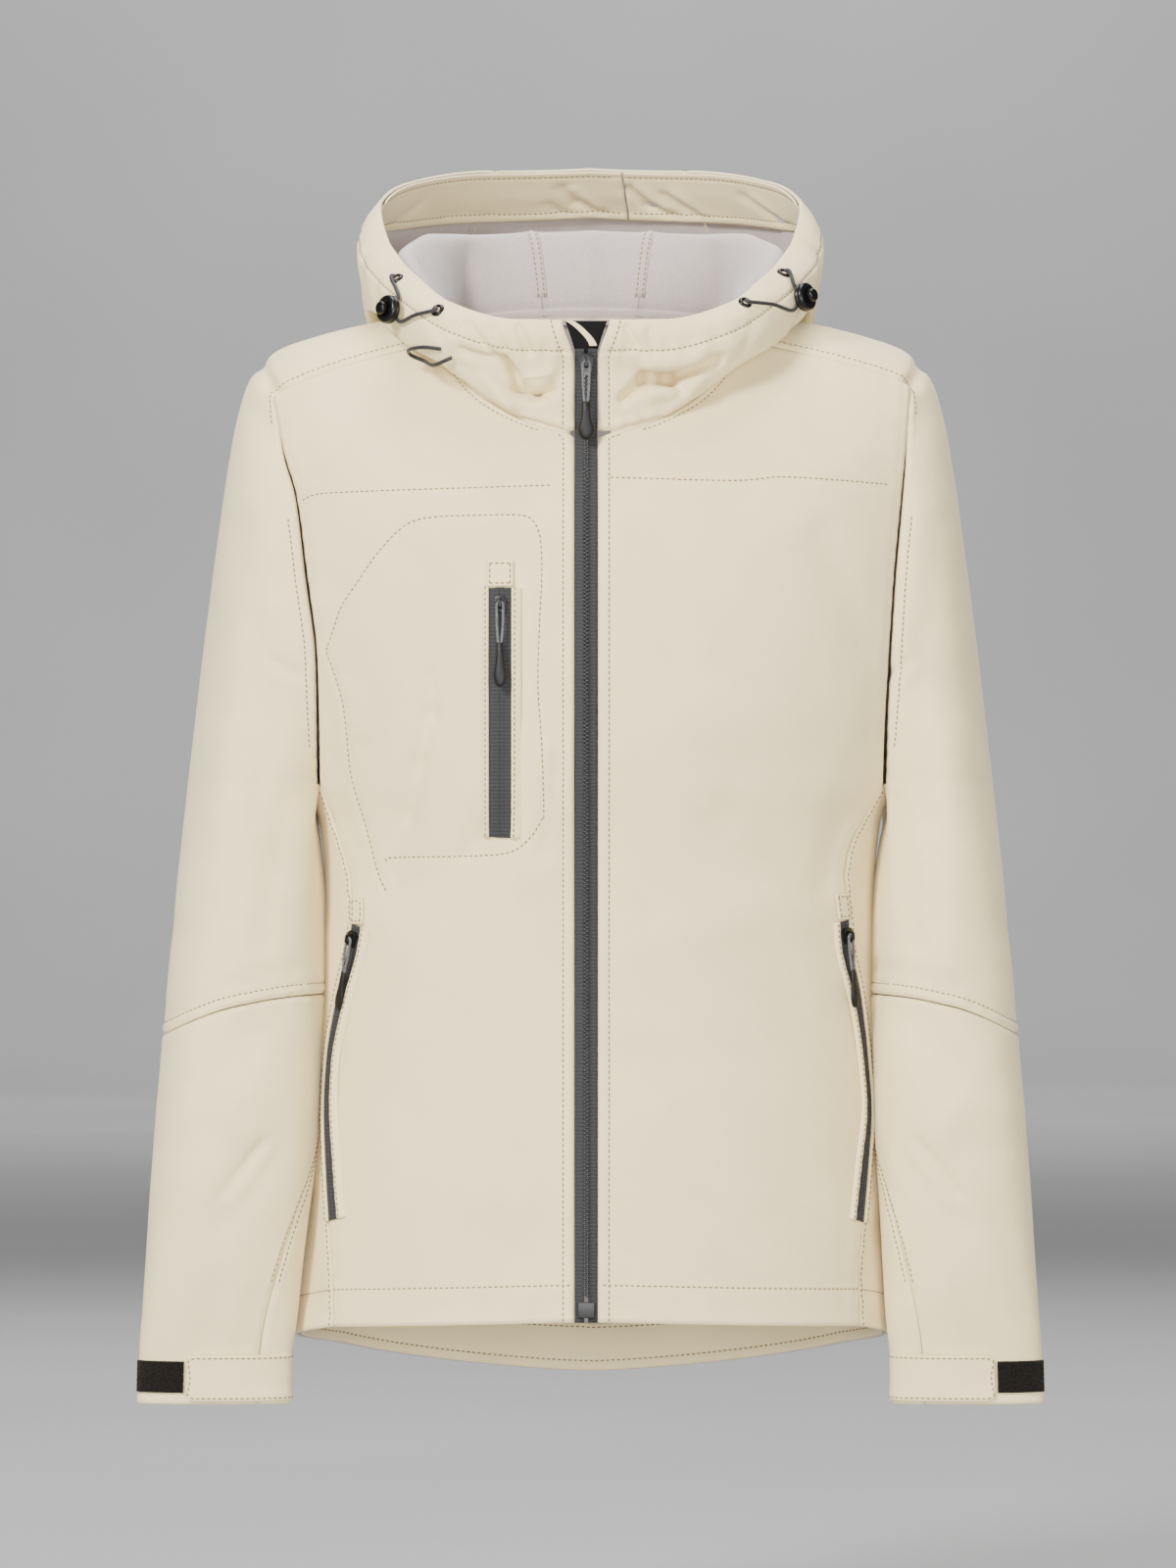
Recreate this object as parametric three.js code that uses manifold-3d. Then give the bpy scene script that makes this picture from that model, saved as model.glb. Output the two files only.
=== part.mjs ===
// A hooded softshell jacket, filled out as worn, with the hood down round the neck.
// Millimetres, +Z up, the front towards -Y. The wearer's right is towards -X.
// The origin is the middle of the shoulders, where the wearer carries it.
import * as THREE from 'three';
import Module from 'manifold-3d';
import { mergeVertices } from 'three/addons/utils/BufferGeometryUtils.js';

const CLOTH = 2.0; // wall of the bonded cloth
const SEAM = 0.4; // gap between pieces that are sewn together
const LIFT = 0.5; // gap under a piece that lies on a panel
const ROUND = 2.3; // how square the body's rings are; 2 is an ellipse
const ZIP_X = -2.8; // the front zip stands a little off the middle
const ZIP_HALF = 7.2; // half the width of zip tape that shows
const NECK_FRONT_Z = -53; // the neck seam at the front zip
const NECK_SIDE_Z = 10; // the neck seam at the front end of the shoulder piece
const NECK_BACK_Z = 30; // the neck seam at the centre back
const ARMHOLE_Z = -278; // lowest level of the armhole on the front and back
const ARMHOLE_DIP = 8; // how far the armhole dips below that under the arm
const HOOD_SPREAD = 7; // how far the hood's edges part above the slider
const BACK_SEAM_TURN = 122; // where the side panel meets the back, in degrees round the body

const BODY_ROWS = 13; // rows of cloth from hem to armhole
const CHEST_ROWS = 8; // from the armhole to the level of the front neck
const YOKE_ROWS = 5; // from there to the shoulder seam
const SHOULDER_COLUMNS = 9;
const BACK_NECK_COLUMNS = 4;
const SIDE_COLUMNS = 5;
const SLEEVE_COLUMNS = 12; // across the shoulder and round the outside of the arm
const UNDERARM_COLUMNS = 5;

const CREAM = '#ddd5c4';
const TAPE_GREY = '#525253';
const CORD_GREY = '#6e6e70';
const BLACK = '#1c1c1c';
const PATCH = '#231a06';

// A table has named columns and a row for each section. Between rows a value follows a smooth curve.
function table(columns, rows) {
  return { columns, rows };
}

function look(source, column, at) {
  const pick = source.columns.indexOf(column);
  const rows = source.rows;
  const last = rows.length - 1;
  if (at <= rows[0][0]) return rows[0][pick];
  if (at >= rows[last][0]) return rows[last][pick];
  let i = 0;
  while (rows[i + 1][0] < at) i += 1;
  const rise = (k) => (rows[k + 1][pick] - rows[k][pick]) / (rows[k + 1][0] - rows[k][0]);
  const slope = (k) => {
    if (k === 0) return rise(0);
    if (k === last) return rise(last - 1);
    const before = rise(k - 1);
    const after = rise(k);
    return before * after <= 0 ? 0 : (2 * before * after) / (before + after);
  };
  const span = rows[i + 1][0] - rows[i][0];
  const u = (at - rows[i][0]) / span;
  const start = rows[i][pick] * (1 + 2 * u) * (1 - u) ** 2 + span * slope(i) * u * (1 - u) ** 2;
  const end = rows[i + 1][pick] * u * u * (3 - 2 * u) + span * slope(i + 1) * u * u * (u - 1);
  return start + end;
}

// The body's rings: half width on each side, and depth in front of and behind the middle.
const TORSO = table(['z', 'right', 'left', 'front', 'back'], [
  [-690, 195, 196, 114, 112],
  [-625, 193, 195, 116, 113],
  [-560, 186, 192, 117, 112],
  [-500, 181, 188, 116, 108],
  [-440, 176.5, 185, 114, 102],
  [-390, 174, 184.5, 112, 98],
  [-342, 173.5, 185.5, 114, 100],
  [-304, 177, 189, 118, 105],
  [-278, 186, 199, 122, 108],
  [-200, 205, 214, 127, 116],
  [-125, 215, 223, 121, 119],
  [-75, 224, 230, 106, 114],
  [-45, 230, 235, 90, 106],
  [-25, 236, 239, 76, 97],
  [-5, 243, 245, 60, 86],
  [12, 249, 250, 46, 74],
  [35, 256, 256, 30, 62],
]);

// The front panels' outer edge, from the middle: the side-panel seam, then the armhole.
const FRONT_EDGE = table(['z', 'right', 'left'], [
  [-628, 166, 174],
  [-598, 167, 174],
  [-561, 169.5, 177],
  [-523, 171.5, 180],
  [-491, 172.5, 182],
  [-459, 171, 180],
  [-416, 164, 175],
  [-380, 156, 168],
  [-361, 154, 167],
  [-338, 156, 165],
  [-317, 162, 169],
  [-304, 167, 176],
  [-287, 173, 186],
  [-278, 175.5, 190],
  [-235, 175.7, 191],
  [-197, 176.4, 193],
  [-147, 182.7, 196],
  [-94, 189.6, 201],
  [-64, 198.5, 204],
  [-28, 206, 207.5],
]);

// The back panel's outer edge above the armhole, alike on both sides.
const BACK_EDGE = table(['z', 'right', 'left'], [
  [-278, 175.5, 190],
  [-200, 177, 188],
  [-125, 183, 192],
  [-70, 194, 201],
  [-28, 205, 207],
]);

// The neck seam's half width at each level of the front.
const NECK = table(['z', 'half'], [
  [-53, 14],
  [-50, 30],
  [-47, 38],
  [-40, 53],
  [-29, 69],
  [-17, 80],
  [-7, 86],
  [10, 90],
]);

// The lower edge, round the body from the centre front to the lower tail at the back.
const HEM = table(['turn', 'z'], [
  [0, -622],
  [60, -626],
  [90, -631],
  [115, -643],
  [135, -656],
  [155, -666],
  [180, -670],
]);

// The outline of the shoulder and arm, by the distance along the armhole and shoulder seam.
// The tilt is the way it faces, from outwards to upwards. The wrap is how far it is bent round.
const SHOULDER = table(['along', 'x', 'z', 'tilt', 'wrap'], [
  [0, 262.7, -278, 0, 138],
  [80, 253.8, -201, 3, 108],
  [155, 244.5, -128, 7, 104],
  [210, 236.5, -72, 13, 92],
  [235, 231, -42, 24, 78],
  [255, 221.5, -13, 48, 62],
  [275, 204, 4.5, 66, 55],
  [300, 181, 13, 74, 52],
  [330, 150, 21, 78, 50],
  [375, 96, 31, 82, 48],
]);

// The arm's rings: outer and inner edge seen from the front, half depth, and place from front to back.
const ARM_COLUMNS = ['z', 'outer', 'innerRight', 'innerLeft', 'deep', 'y'];
const ARM = table(ARM_COLUMNS, [
  [-684, 293.5, 195.8, 196.4, 14, -42],
  [-650, 292.5, 195.2, 196, 17, -41],
  [-620, 290.5, 193.6, 195.2, 24, -41],
  [-585, 288, 190.3, 193.5, 33, -40],
  [-536, 285, 183.8, 190.5, 43, -37],
  [-509, 283, 180.3, 187.8, 47, -34],
  [-470, 280, 177.2, 185.6, 51, -30],
  [-438, 277.5, 175.6, 184.2, 54, -26],
  [-400, 274.3, 174, 184, 57, -20],
  [-355, 270.4, 174.2, 185.6, 60, -13],
  [-320, 267, 177.5, 190, 63, -7],
  [-278, 262.7, 186, 200, 65, 0],
]);
const ELBOW_OUTER_Z = -441; // the elbow seam at the outer edge of the sleeve
const ELBOW_INNER_Z = -415; // and at its inner edge
const SLEEVE_END_Z = -679;

// The hood's sections round the neck: distance from the neck's middle, and level.
// From the neck seam the cloth rises, falls to the lowest fold, bulges out and ends at the rim.
const HOOD_COLUMNS = ['turn', 'riseR', 'riseZ', 'fallR', 'fallZ', 'foldR', 'foldZ', 'lowR', 'lowZ',
  'highR', 'highZ', 'rimR', 'rimZ'];
const HOOD = table(HOOD_COLUMNS, [
  [0, 96, -38, 98, -26, 100, -12, 103, 0, 105, 10, 105, 18],
  [25, 103, -38, 105.5, -28, 103, -17, 113.5, -7, 119, 7, 117, 19],
  [45, 112, -22, 120, -15, 129, -9, 137, 5, 135, 20, 127, 31],
  [60, 113, 14, 124, 12, 136, 4, 142, 20, 138, 36, 126, 47],
  [75, 114, 44, 125, 36, 138, 20, 146, 35, 144, 51, 127, 62],
  [90, 119, 68, 130, 54, 141, 30, 149, 47, 150, 66, 133, 79],
  [105, 113, 77, 129, 60, 149, 33, 157, 54, 157, 84, 143, 106],
  [125, 104, 81, 126, 50, 160, 2, 175, 34, 168, 86, 145, 122],
  [150, 92, 85, 117, 28, 154, -50, 187, -6, 181, 88, 146, 132],
  [180, 81, 87, 107, 22, 146, -64, 190, -18, 187, 88, 141, 135],
]);
const HOOD_STEPS = ['seam', 'rise', 'fall', 'fold', 'low', 'high', 'rim'];
const HOOD_SEAM_TURN = 154; // where the hood's side pieces meet the middle piece

// Soft folds of the body and sleeves as seen from the front: a trough or ridge from one end to the other.
const FOLD_COLUMNS = ['x0', 'z0', 'x1', 'z1', 'reach', 'rise'];
const BODY_FOLDS = table(FOLD_COLUMNS, [
  [-98, -205, -124, -335, 17, -3.0],
  [-72, -318, -128, -352, 16, -2.6],
  [-24, -262, -34, -330, 16, 2.4],
  [92, -300, 150, -340, 18, -2.8],
  [60, -370, 150, -352, 20, 2.6],
  [-60, -385, -140, -368, 20, 2.6],
  [30, -250, 120, -232, 24, 2.2],
  [-186, -545, -181, -610, 14, -2.4],
  [186, -565, 178, -600, 14, -2.4],
]);
const SLEEVE_FOLDS = table(FOLD_COLUMNS, [
  [224, -28, 200, -52, 13, -3.4],
  [214, -180, 204, -330, 15, -3.0],
  [238, -250, 230, -400, 16, 2.4],
  [208, -430, 250, -470, 14, -3.0],
  [206, -515, 236, -560, 13, -2.8],
  [262, -455, 226, -500, 14, 2.4],
]);

const SIDES = ['right', 'left'];
const signOf = (side) => (side === 'right' ? -1 : 1);
const mix = (a, b, u) => a + (b - a) * u;
const degrees = THREE.MathUtils.radToDeg;
const radians = THREE.MathUtils.degToRad;
const range = (count) => Array.from({ length: count }, (_, i) => i);
const point = (x, y, z) => new THREE.Vector3(x, y, z);

function foldRise(folds, x, z) {
  let rise = 0;
  for (const [x0, z0, x1, z1, reach, height] of folds.rows) {
    const run = (x1 - x0) ** 2 + (z1 - z0) ** 2;
    const u = ((x - x0) * (x1 - x0) + (z - z0) * (z1 - z0)) / run;
    const near = Math.min(1, Math.max(0, u));
    const away = Math.hypot(x - mix(x0, x1, near), z - mix(z0, z1, near));
    rise += height * Math.exp(-((away / reach) ** 2));
  }
  return rise;
}

// A point on the body's ring: the turn is 0 at the centre front and 180 at the centre back,
// negative on the wearer's right.
function bodyPoint(turn, z) {
  const sign = turn < 0 ? -1 : 1;
  const angle = radians(Math.abs(turn));
  const wide = look(TORSO, sign < 0 ? 'right' : 'left', z);
  const isFront = Math.abs(turn) < 90;
  const deep = look(TORSO, isFront ? 'front' : 'back', z);
  const x = sign * wide * Math.abs(Math.sin(angle)) ** (2 / ROUND);
  const y = deep * Math.abs(Math.cos(angle)) ** (2 / ROUND);
  const mirror = isFront ? 1 : 0.8;
  const out = foldRise(BODY_FOLDS, x, z) * mirror * Math.abs(Math.cos(angle)) ** 0.5;
  return point(x, (isFront ? -1 : 1) * (y + out), z);
}

function turnAt(side, half, z, isBack) {
  const wide = look(TORSO, side, z);
  const angle = degrees(Math.asin(Math.min(1, half / wide) ** (ROUND / 2)));
  return signOf(side) * (isBack ? 180 - angle : angle);
}

const neckRow = (NECK_FRONT_Z - look(HEM, 'z', 0)) / (NECK_SIDE_Z - look(HEM, 'z', 0));
const shoulderZ = { right: -28, left: -21 };
const hemSideZ = -628;
const armholeRow = (side) => (ARMHOLE_Z - hemSideZ) / (shoulderZ[side] - hemSideZ);

function rowSteps(side) {
  const low = range(BODY_ROWS).map((i) => (armholeRow(side) * i) / BODY_ROWS);
  const chest = range(CHEST_ROWS).map((i) => mix(armholeRow(side), neckRow, i / CHEST_ROWS));
  const yoke = range(YOKE_ROWS + 1).map((i) => mix(neckRow, 1, i / YOKE_ROWS));
  return [...low, ...chest, ...yoke];
}

// The front panel as a net of points, each row running from the zip or neck to the outer edge.
function frontNet(side) {
  const sign = signOf(side);
  const zipEdge = Math.abs(ZIP_X + sign * (ZIP_HALF + SEAM));
  return rowSteps(side).map((row) => {
    const innerZ = mix(look(HEM, 'z', 0), NECK_SIDE_Z, row);
    const outerZ = mix(hemSideZ, shoulderZ[side], row);
    const innerHalf = innerZ < NECK_FRONT_Z - 0.01 ? zipEdge : look(NECK, 'half', innerZ);
    const innerTurn = turnAt(side, Math.max(innerHalf, zipEdge), innerZ, false);
    const outerTurn = turnAt(side, look(FRONT_EDGE, side, outerZ), outerZ, false);
    return range(SHOULDER_COLUMNS + 1).map((j) => {
      const u = j / SHOULDER_COLUMNS;
      return bodyPoint(mix(innerTurn, outerTurn, u), mix(innerZ, outerZ, u));
    });
  });
}

// Half of the back panel, each row running from the centre back to the outer edge.
const BACK_COLUMNS = SHOULDER_COLUMNS + BACK_NECK_COLUMNS;
const backHemSide = look(HEM, 'z', BACK_SEAM_TURN);
function backHalfNet(side) {
  const sign = signOf(side);
  const rows = rowSteps(side);
  return rows.map((row, i) => {
    const centreZ = mix(look(HEM, 'z', 180), NECK_BACK_Z, row);
    const low = Math.min(1, i / BODY_ROWS);
    const high = Math.max(0, (row - armholeRow(side)) / (1 - armholeRow(side)));
    const outerZ = i <= BODY_ROWS ? mix(backHemSide, ARMHOLE_Z, low) : mix(ARMHOLE_Z, shoulderZ[side], high);
    const armTurn = turnAt(side, look(BACK_EDGE, side, outerZ), outerZ, true);
    const seamTurn = sign * mix(BACK_SEAM_TURN, Math.abs(turnAt(side, look(BACK_EDGE, side, ARMHOLE_Z),
      ARMHOLE_Z, true)), low ** 3);
    const outerTurn = i <= BODY_ROWS ? seamTurn : armTurn;
    return range(BACK_COLUMNS + 1).map((j) => {
      const u = j / BACK_COLUMNS;
      const bend = u ** mix(1.3, 1.8, row);
      return bodyPoint(mix(sign * 180, outerTurn, u), mix(centreZ, outerZ, bend));
    });
  });
}

// The side panel: rows from the front seam to the back seam, up to the armhole under the arm.
function sideNet(side, frontPoints, backPoints) {
  const sign = signOf(side);
  return range(BODY_ROWS + 1).map((i) => {
    const front = frontPoints[i][SHOULDER_COLUMNS];
    const back = backPoints[i][BACK_COLUMNS];
    const step = degrees(SEAM / 110);
    const frontTurn = Math.abs(turnAt(side, Math.abs(front.x), front.z, false)) + step;
    const backTurn = Math.abs(turnAt(side, Math.abs(back.x), back.z, true)) - step;
    return range(SIDE_COLUMNS + 1).map((j) => {
      const u = j / SIDE_COLUMNS;
      const dip = (ARMHOLE_DIP * Math.sin(Math.PI * u) * i) / BODY_ROWS;
      return bodyPoint(sign * mix(frontTurn, backTurn, u), mix(front.z, back.z, u) - dip);
    });
  });
}

// A sheet of cloth: points on its outer face and the cells between them. It becomes a closed wall.
class Sheet {
  constructor(mirrored = false) {
    this.points = [];
    this.cells = [];
    this.fixed = new Map();
    this.mirrored = mirrored;
  }

  add(position) {
    this.points.push(position.clone());
    return this.points.length - 1;
  }

  // At a shared seam both walls stand square to the same face.
  face(id, facing) {
    this.fixed.set(id, facing);
  }

  cell(a, b, c, d) {
    this.cells.push(this.mirrored ? [d, c, b, a] : [a, b, c, d]);
  }

  net(rows, closed = false) {
    const ids = rows.map((row) => row.map((position) => this.add(position)));
    const wide = ids[0].length;
    for (let i = 0; i + 1 < ids.length; i += 1) {
      for (let j = 0; j < (closed ? wide : wide - 1); j += 1) {
        const k = (j + 1) % wide;
        this.cell(ids[i][j], ids[i][k], ids[i + 1][k], ids[i + 1][j]);
      }
    }
    return ids;
  }

  normals() {
    const sums = this.points.map(() => point(0, 0, 0));
    for (const [a, b, c, d] of this.cells) {
      const across = this.points[c].clone().sub(this.points[a]);
      const along = this.points[d].clone().sub(this.points[b]);
      const facing = across.cross(along);
      for (const id of [a, b, c, d]) sums[id].add(facing);
    }
    return sums.map((sum, id) => (this.fixed.get(id) ?? sum.normalize()));
  }

  // Outer points stand the lift and the wall above the given face when the sheet lies on something.
  solid(name, colour, { thick = CLOTH, lift = 0, rough = 0.85 } = {}) {
    const normals = this.normals();
    const top = lift > 0 ? lift + thick : 0;
    const outer = this.points.map((p, i) => p.clone().addScaledVector(normals[i], top));
    const inner = outer.map((p, i) => p.clone().addScaledVector(normals[i], -thick));
    const count = outer.length;
    const faces = [];
    const sides = new Map();
    for (const cell of this.cells) {
      const [a, b, c, d] = cell;
      faces.push([a, b, c], [a, c, d]);
      faces.push([c + count, b + count, a + count], [d + count, c + count, a + count]);
      cell.forEach((from, k) => sides.set(`${from}_${cell[(k + 1) % 4]}`, [from, cell[(k + 1) % 4]]));
    }
    for (const [from, to] of sides.values()) {
      if (!sides.has(`${to}_${from}`)) {
        faces.push([to, from, from + count], [to, from + count, to + count]);
      }
    }
    return solidMesh(name, colour, rough, [...outer, ...inner], faces);
  }
}

const group = new THREE.Group();

function solidMesh(name, colour, rough, points, faces) {
  const geometry = new THREE.BufferGeometry();
  geometry.setAttribute('position', new THREE.Float32BufferAttribute(points.flatMap((p) => p.toArray()), 3));
  geometry.setIndex(faces.flat());
  geometry.computeVertexNormals();
  const material = new THREE.MeshStandardMaterial({ color: colour, roughness: rough, metalness: 0 });
  const mesh = new THREE.Mesh(geometry, material);
  mesh.name = name;
  group.add(mesh);
  return mesh;
}

const fronts = { right: frontNet('right'), left: frontNet('left') };
const backs = { right: backHalfNet('right'), left: backHalfNet('left') };
const flanks = {
  right: sideNet('right', fronts.right, backs.right),
  left: sideNet('left', fronts.left, backs.left),
};

function makeBodyPanels() {
  for (const side of SIDES) {
    const mirrored = side === 'right';
    const front = new Sheet(mirrored);
    front.net(fronts[side]);
    front.solid(`front_${side}`, CREAM);
    const flank = new Sheet(mirrored);
    flank.net(flanks[side]);
    flank.solid(`side_panel_${side}`, CREAM);
  }
  const back = new Sheet();
  const rows = backs.right.map((row, i) => [...backs.left[i].slice().reverse(), ...row.slice(1)]);
  back.net(rows);
  back.solid('back', CREAM);
}

// The seam that the sleeve is sewn to: up the armhole and along the shoulder to the neck,
// each point moved off the panel by the seam's gap.
function seamLine(net, mirrored, neckColumn) {
  const sheet = new Sheet(mirrored);
  const ids = sheet.net(net);
  const normals = sheet.normals();
  const top = net.length - 1;
  const edge = net[0].length - 1;
  const line = [];
  const put = (i, j, away) => {
    line.push({ place: net[i][j].clone().addScaledVector(away, SEAM), facing: normals[ids[i][j]] });
  };
  for (let i = BODY_ROWS; i <= top; i += 1) {
    const away = net[i][edge].clone().sub(net[i][edge - 1]).normalize();
    if (i === top) away.add(net[top][edge].clone().sub(net[top - 1][edge]).normalize());
    put(i, edge, away);
  }
  for (let j = edge - 1; j >= neckColumn; j -= 1) {
    put(top, j, net[top][j].clone().sub(net[top - 1][j]).normalize());
  }
  return line;
}

function armPoint(side, angle, z) {
  const outer = look(ARM, 'outer', z);
  const inner = look(ARM, side === 'right' ? 'innerRight' : 'innerLeft', z);
  const deep = look(ARM, 'deep', z);
  const sign = signOf(side);
  const a = radians(angle);
  const middle = (outer + inner) / 2;
  const half = (outer - inner) / 2;
  const squareness = 2 / 2.25;
  const across = Math.sign(Math.cos(a)) * Math.abs(Math.cos(a)) ** squareness;
  const along = Math.sign(Math.sin(a)) * Math.abs(Math.sin(a)) ** squareness;
  const x = middle + half * across;
  const rise = foldRise(SLEEVE_FOLDS, x, z) * Math.abs(along);
  return point(sign * x, look(ARM, 'y', z) + (deep + rise) * along, z);
}

// One section over the shoulder or round the outside of the arm, from the front seam to the back seam.
function shoulderSection(side, front, back, along) {
  const sign = signOf(side);
  const tilt = radians(look(SHOULDER, 'tilt', along));
  const facing = point(sign * Math.cos(tilt), 0, Math.sin(tilt));
  const top = point(sign * look(SHOULDER, 'x', along), 0, look(SHOULDER, 'z', along));
  const wrap = radians(look(SHOULDER, 'wrap', along));
  return range(SLEEVE_COLUMNS + 1).map((j) => {
    const u = (2 * j) / SLEEVE_COLUMNS - 1;
    const end = u < 0 ? front : back;
    const angle = wrap * Math.abs(u);
    const high = top.clone().sub(end).dot(facing) / (1 - Math.cos(wrap));
    const deep = Math.abs(end.y - top.y) / Math.sin(wrap);
    const shape = (bend) => top.clone()
      .addScaledVector(facing, high * (Math.cos(bend) - 1))
      .add(point(0, Math.sign(end.y) * deep * Math.sin(bend), 0));
    const miss = end.clone().sub(shape(wrap));
    const place = shape(angle).addScaledVector(miss, Math.abs(u) ** 2);
    const rise = foldRise(SLEEVE_FOLDS, Math.abs(place.x), place.z) * Math.abs(Math.sin(angle));
    place.y += Math.sign(end.y) * rise * (1 - Math.abs(u) ** 6);
    return place;
  });
}

// The inner piece of the lower sleeve, by the angle round the arm of its two seams.
const UNDER_SEAM = table(['z', 'behind', 'before'], [
  [-690, 128, 236],
  [-650, 128, 234],
  [-590, 130, 217],
  [-560, 130, 203],
  [-523, 128, 181],
  [-480, 124, 170],
  [-441, 120, 165],
]);

function armFacing(side, angle, z) {
  const round = armPoint(side, angle + 2, z).sub(armPoint(side, angle - 2, z));
  const up = armPoint(side, angle, z + 2).sub(armPoint(side, angle, z - 2));
  const facing = round.cross(up).normalize();
  return side === 'right' ? facing.negate() : facing;
}

function elbowZ(angle) {
  return mix(ELBOW_INNER_Z, ELBOW_OUTER_Z, ((1 + Math.cos(radians(angle))) / 2) ** 2);
}

function makeSleeve(side) {
  const mirrored = side === 'right';
  const front = seamLine(fronts[side], mirrored, 0);
  const back = seamLine(backs[side], !mirrored, BACK_NECK_COLUMNS);
  const upper = new Sheet(mirrored);
  let along = 0;
  const sections = front.map(({ place }, i) => {
    if (i > 0) along += place.distanceTo(front[i - 1].place);
    return shoulderSection(side, place, back[i].place, along);
  });
  const sheetRows = upper.net(sections);
  sheetRows.slice(1).forEach((ids, i) => {
    upper.face(ids[0], front[i + 1].facing);
    upper.face(ids[SLEEVE_COLUMNS], back[i + 1].facing);
  });

  // Under the arm the sleeve closes along the side panel's top edge.
  const flankTop = flanks[side][BODY_ROWS];
  const sign = signOf(side);
  const under = range(UNDERARM_COLUMNS - 1).map((k) => {
    const u = 1 - (k + 1) / UNDERARM_COLUMNS;
    const at = u * SIDE_COLUMNS;
    const j = Math.min(SIDE_COLUMNS - 1, Math.floor(at));
    const place = flankTop[j].clone().lerp(flankTop[j + 1], at - j);
    return place.add(point(sign * 1.2, 0, 0));
  });
  const ring = [...sections[0], ...under];
  const ringIds = [...sheetRows[0], ...under.map((place) => upper.add(place))];
  const wrap = look(SHOULDER, 'wrap', 0);
  const angles = ring.map((_, j) => {
    if (j <= SLEEVE_COLUMNS) return -wrap * (1 - (2 * j) / SLEEVE_COLUMNS);
    return wrap + ((360 - 2 * wrap) * (j - SLEEVE_COLUMNS)) / UNDERARM_COLUMNS;
  });
  const lowerRows = 7;
  const fade = 110;
  const miss = ring.map((place, j) => place.clone().sub(armPoint(side, angles[j], place.z)));
  let previous = ringIds;
  for (let i = 1; i <= lowerRows; i += 1) {
    const ids = ring.map((place, j) => {
      const z = mix(place.z, elbowZ(angles[j]) + 2 * SEAM, i / lowerRows);
      const left = Math.max(0, 1 - (place.z - z) / fade) ** 2;
      return upper.add(armPoint(side, angles[j], z).addScaledVector(miss[j], left));
    });
    for (let j = 0; j < ring.length; j += 1) {
      const k = (j + 1) % ring.length;
      upper.cell(ids[j], ids[k], previous[k], previous[j]);
    }
    previous = ids;
  }
  upper.solid(`sleeve_upper_${side}`, CREAM);

  // The lower sleeve is two pieces: the outer one and a narrow one on the inside of the arm.
  const rows = 10;
  const strip = (name, from, to, columns) => {
    const sheet = new Sheet(mirrored);
    const spots = range(rows + 1).map((i) => range(columns + 1).map((j) => {
      const guess = mix(ELBOW_OUTER_Z, SLEEVE_END_Z, i / rows);
      const angle = mix(from(guess), to(guess), j / columns);
      return { angle, z: mix(elbowZ(angle), SLEEVE_END_Z, i / rows) };
    })).reverse();
    const ids = sheet.net(spots.map((row) => row.map(({ angle, z }) => armPoint(side, angle, z))));
    spots.forEach((row, i) => row.forEach(({ angle, z }, j) => {
      sheet.face(ids[i][j], armFacing(side, angle, z));
    }));
    sheet.solid(name, CREAM);
  };
  const gap = degrees(SEAM / 30);
  strip(`sleeve_lower_${side}`, (z) => look(UNDER_SEAM, 'before', z) - 360 + gap / 2,
    (z) => look(UNDER_SEAM, 'behind', z) - gap / 2, 15);
  strip(`sleeve_under_${side}`, (z) => look(UNDER_SEAM, 'behind', z) + gap / 2,
    (z) => look(UNDER_SEAM, 'before', z) - gap / 2, 5);
  return sections[sections.length - 1];
}

// The neck seam all round, from the pieces that end at it: direction from the middle, distance and level.
function neckRing(shoulderEnds) {
  const ring = [];
  const note = (p) => ring.push([degrees(Math.atan2(Math.abs(p.x), -p.y)), Math.hypot(p.x, p.y), p.z]);
  fronts.left.slice(BODY_ROWS + CHEST_ROWS).forEach((row) => note(row[0]));
  shoulderEnds.left.slice(1, -1).forEach(note);
  backs.left[backs.left.length - 1].slice(0, BACK_NECK_COLUMNS + 1).forEach(note);
  ring.sort((a, b) => a[0] - b[0]);
  return table(['turn', 'r', 'z'], ring);
}

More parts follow.
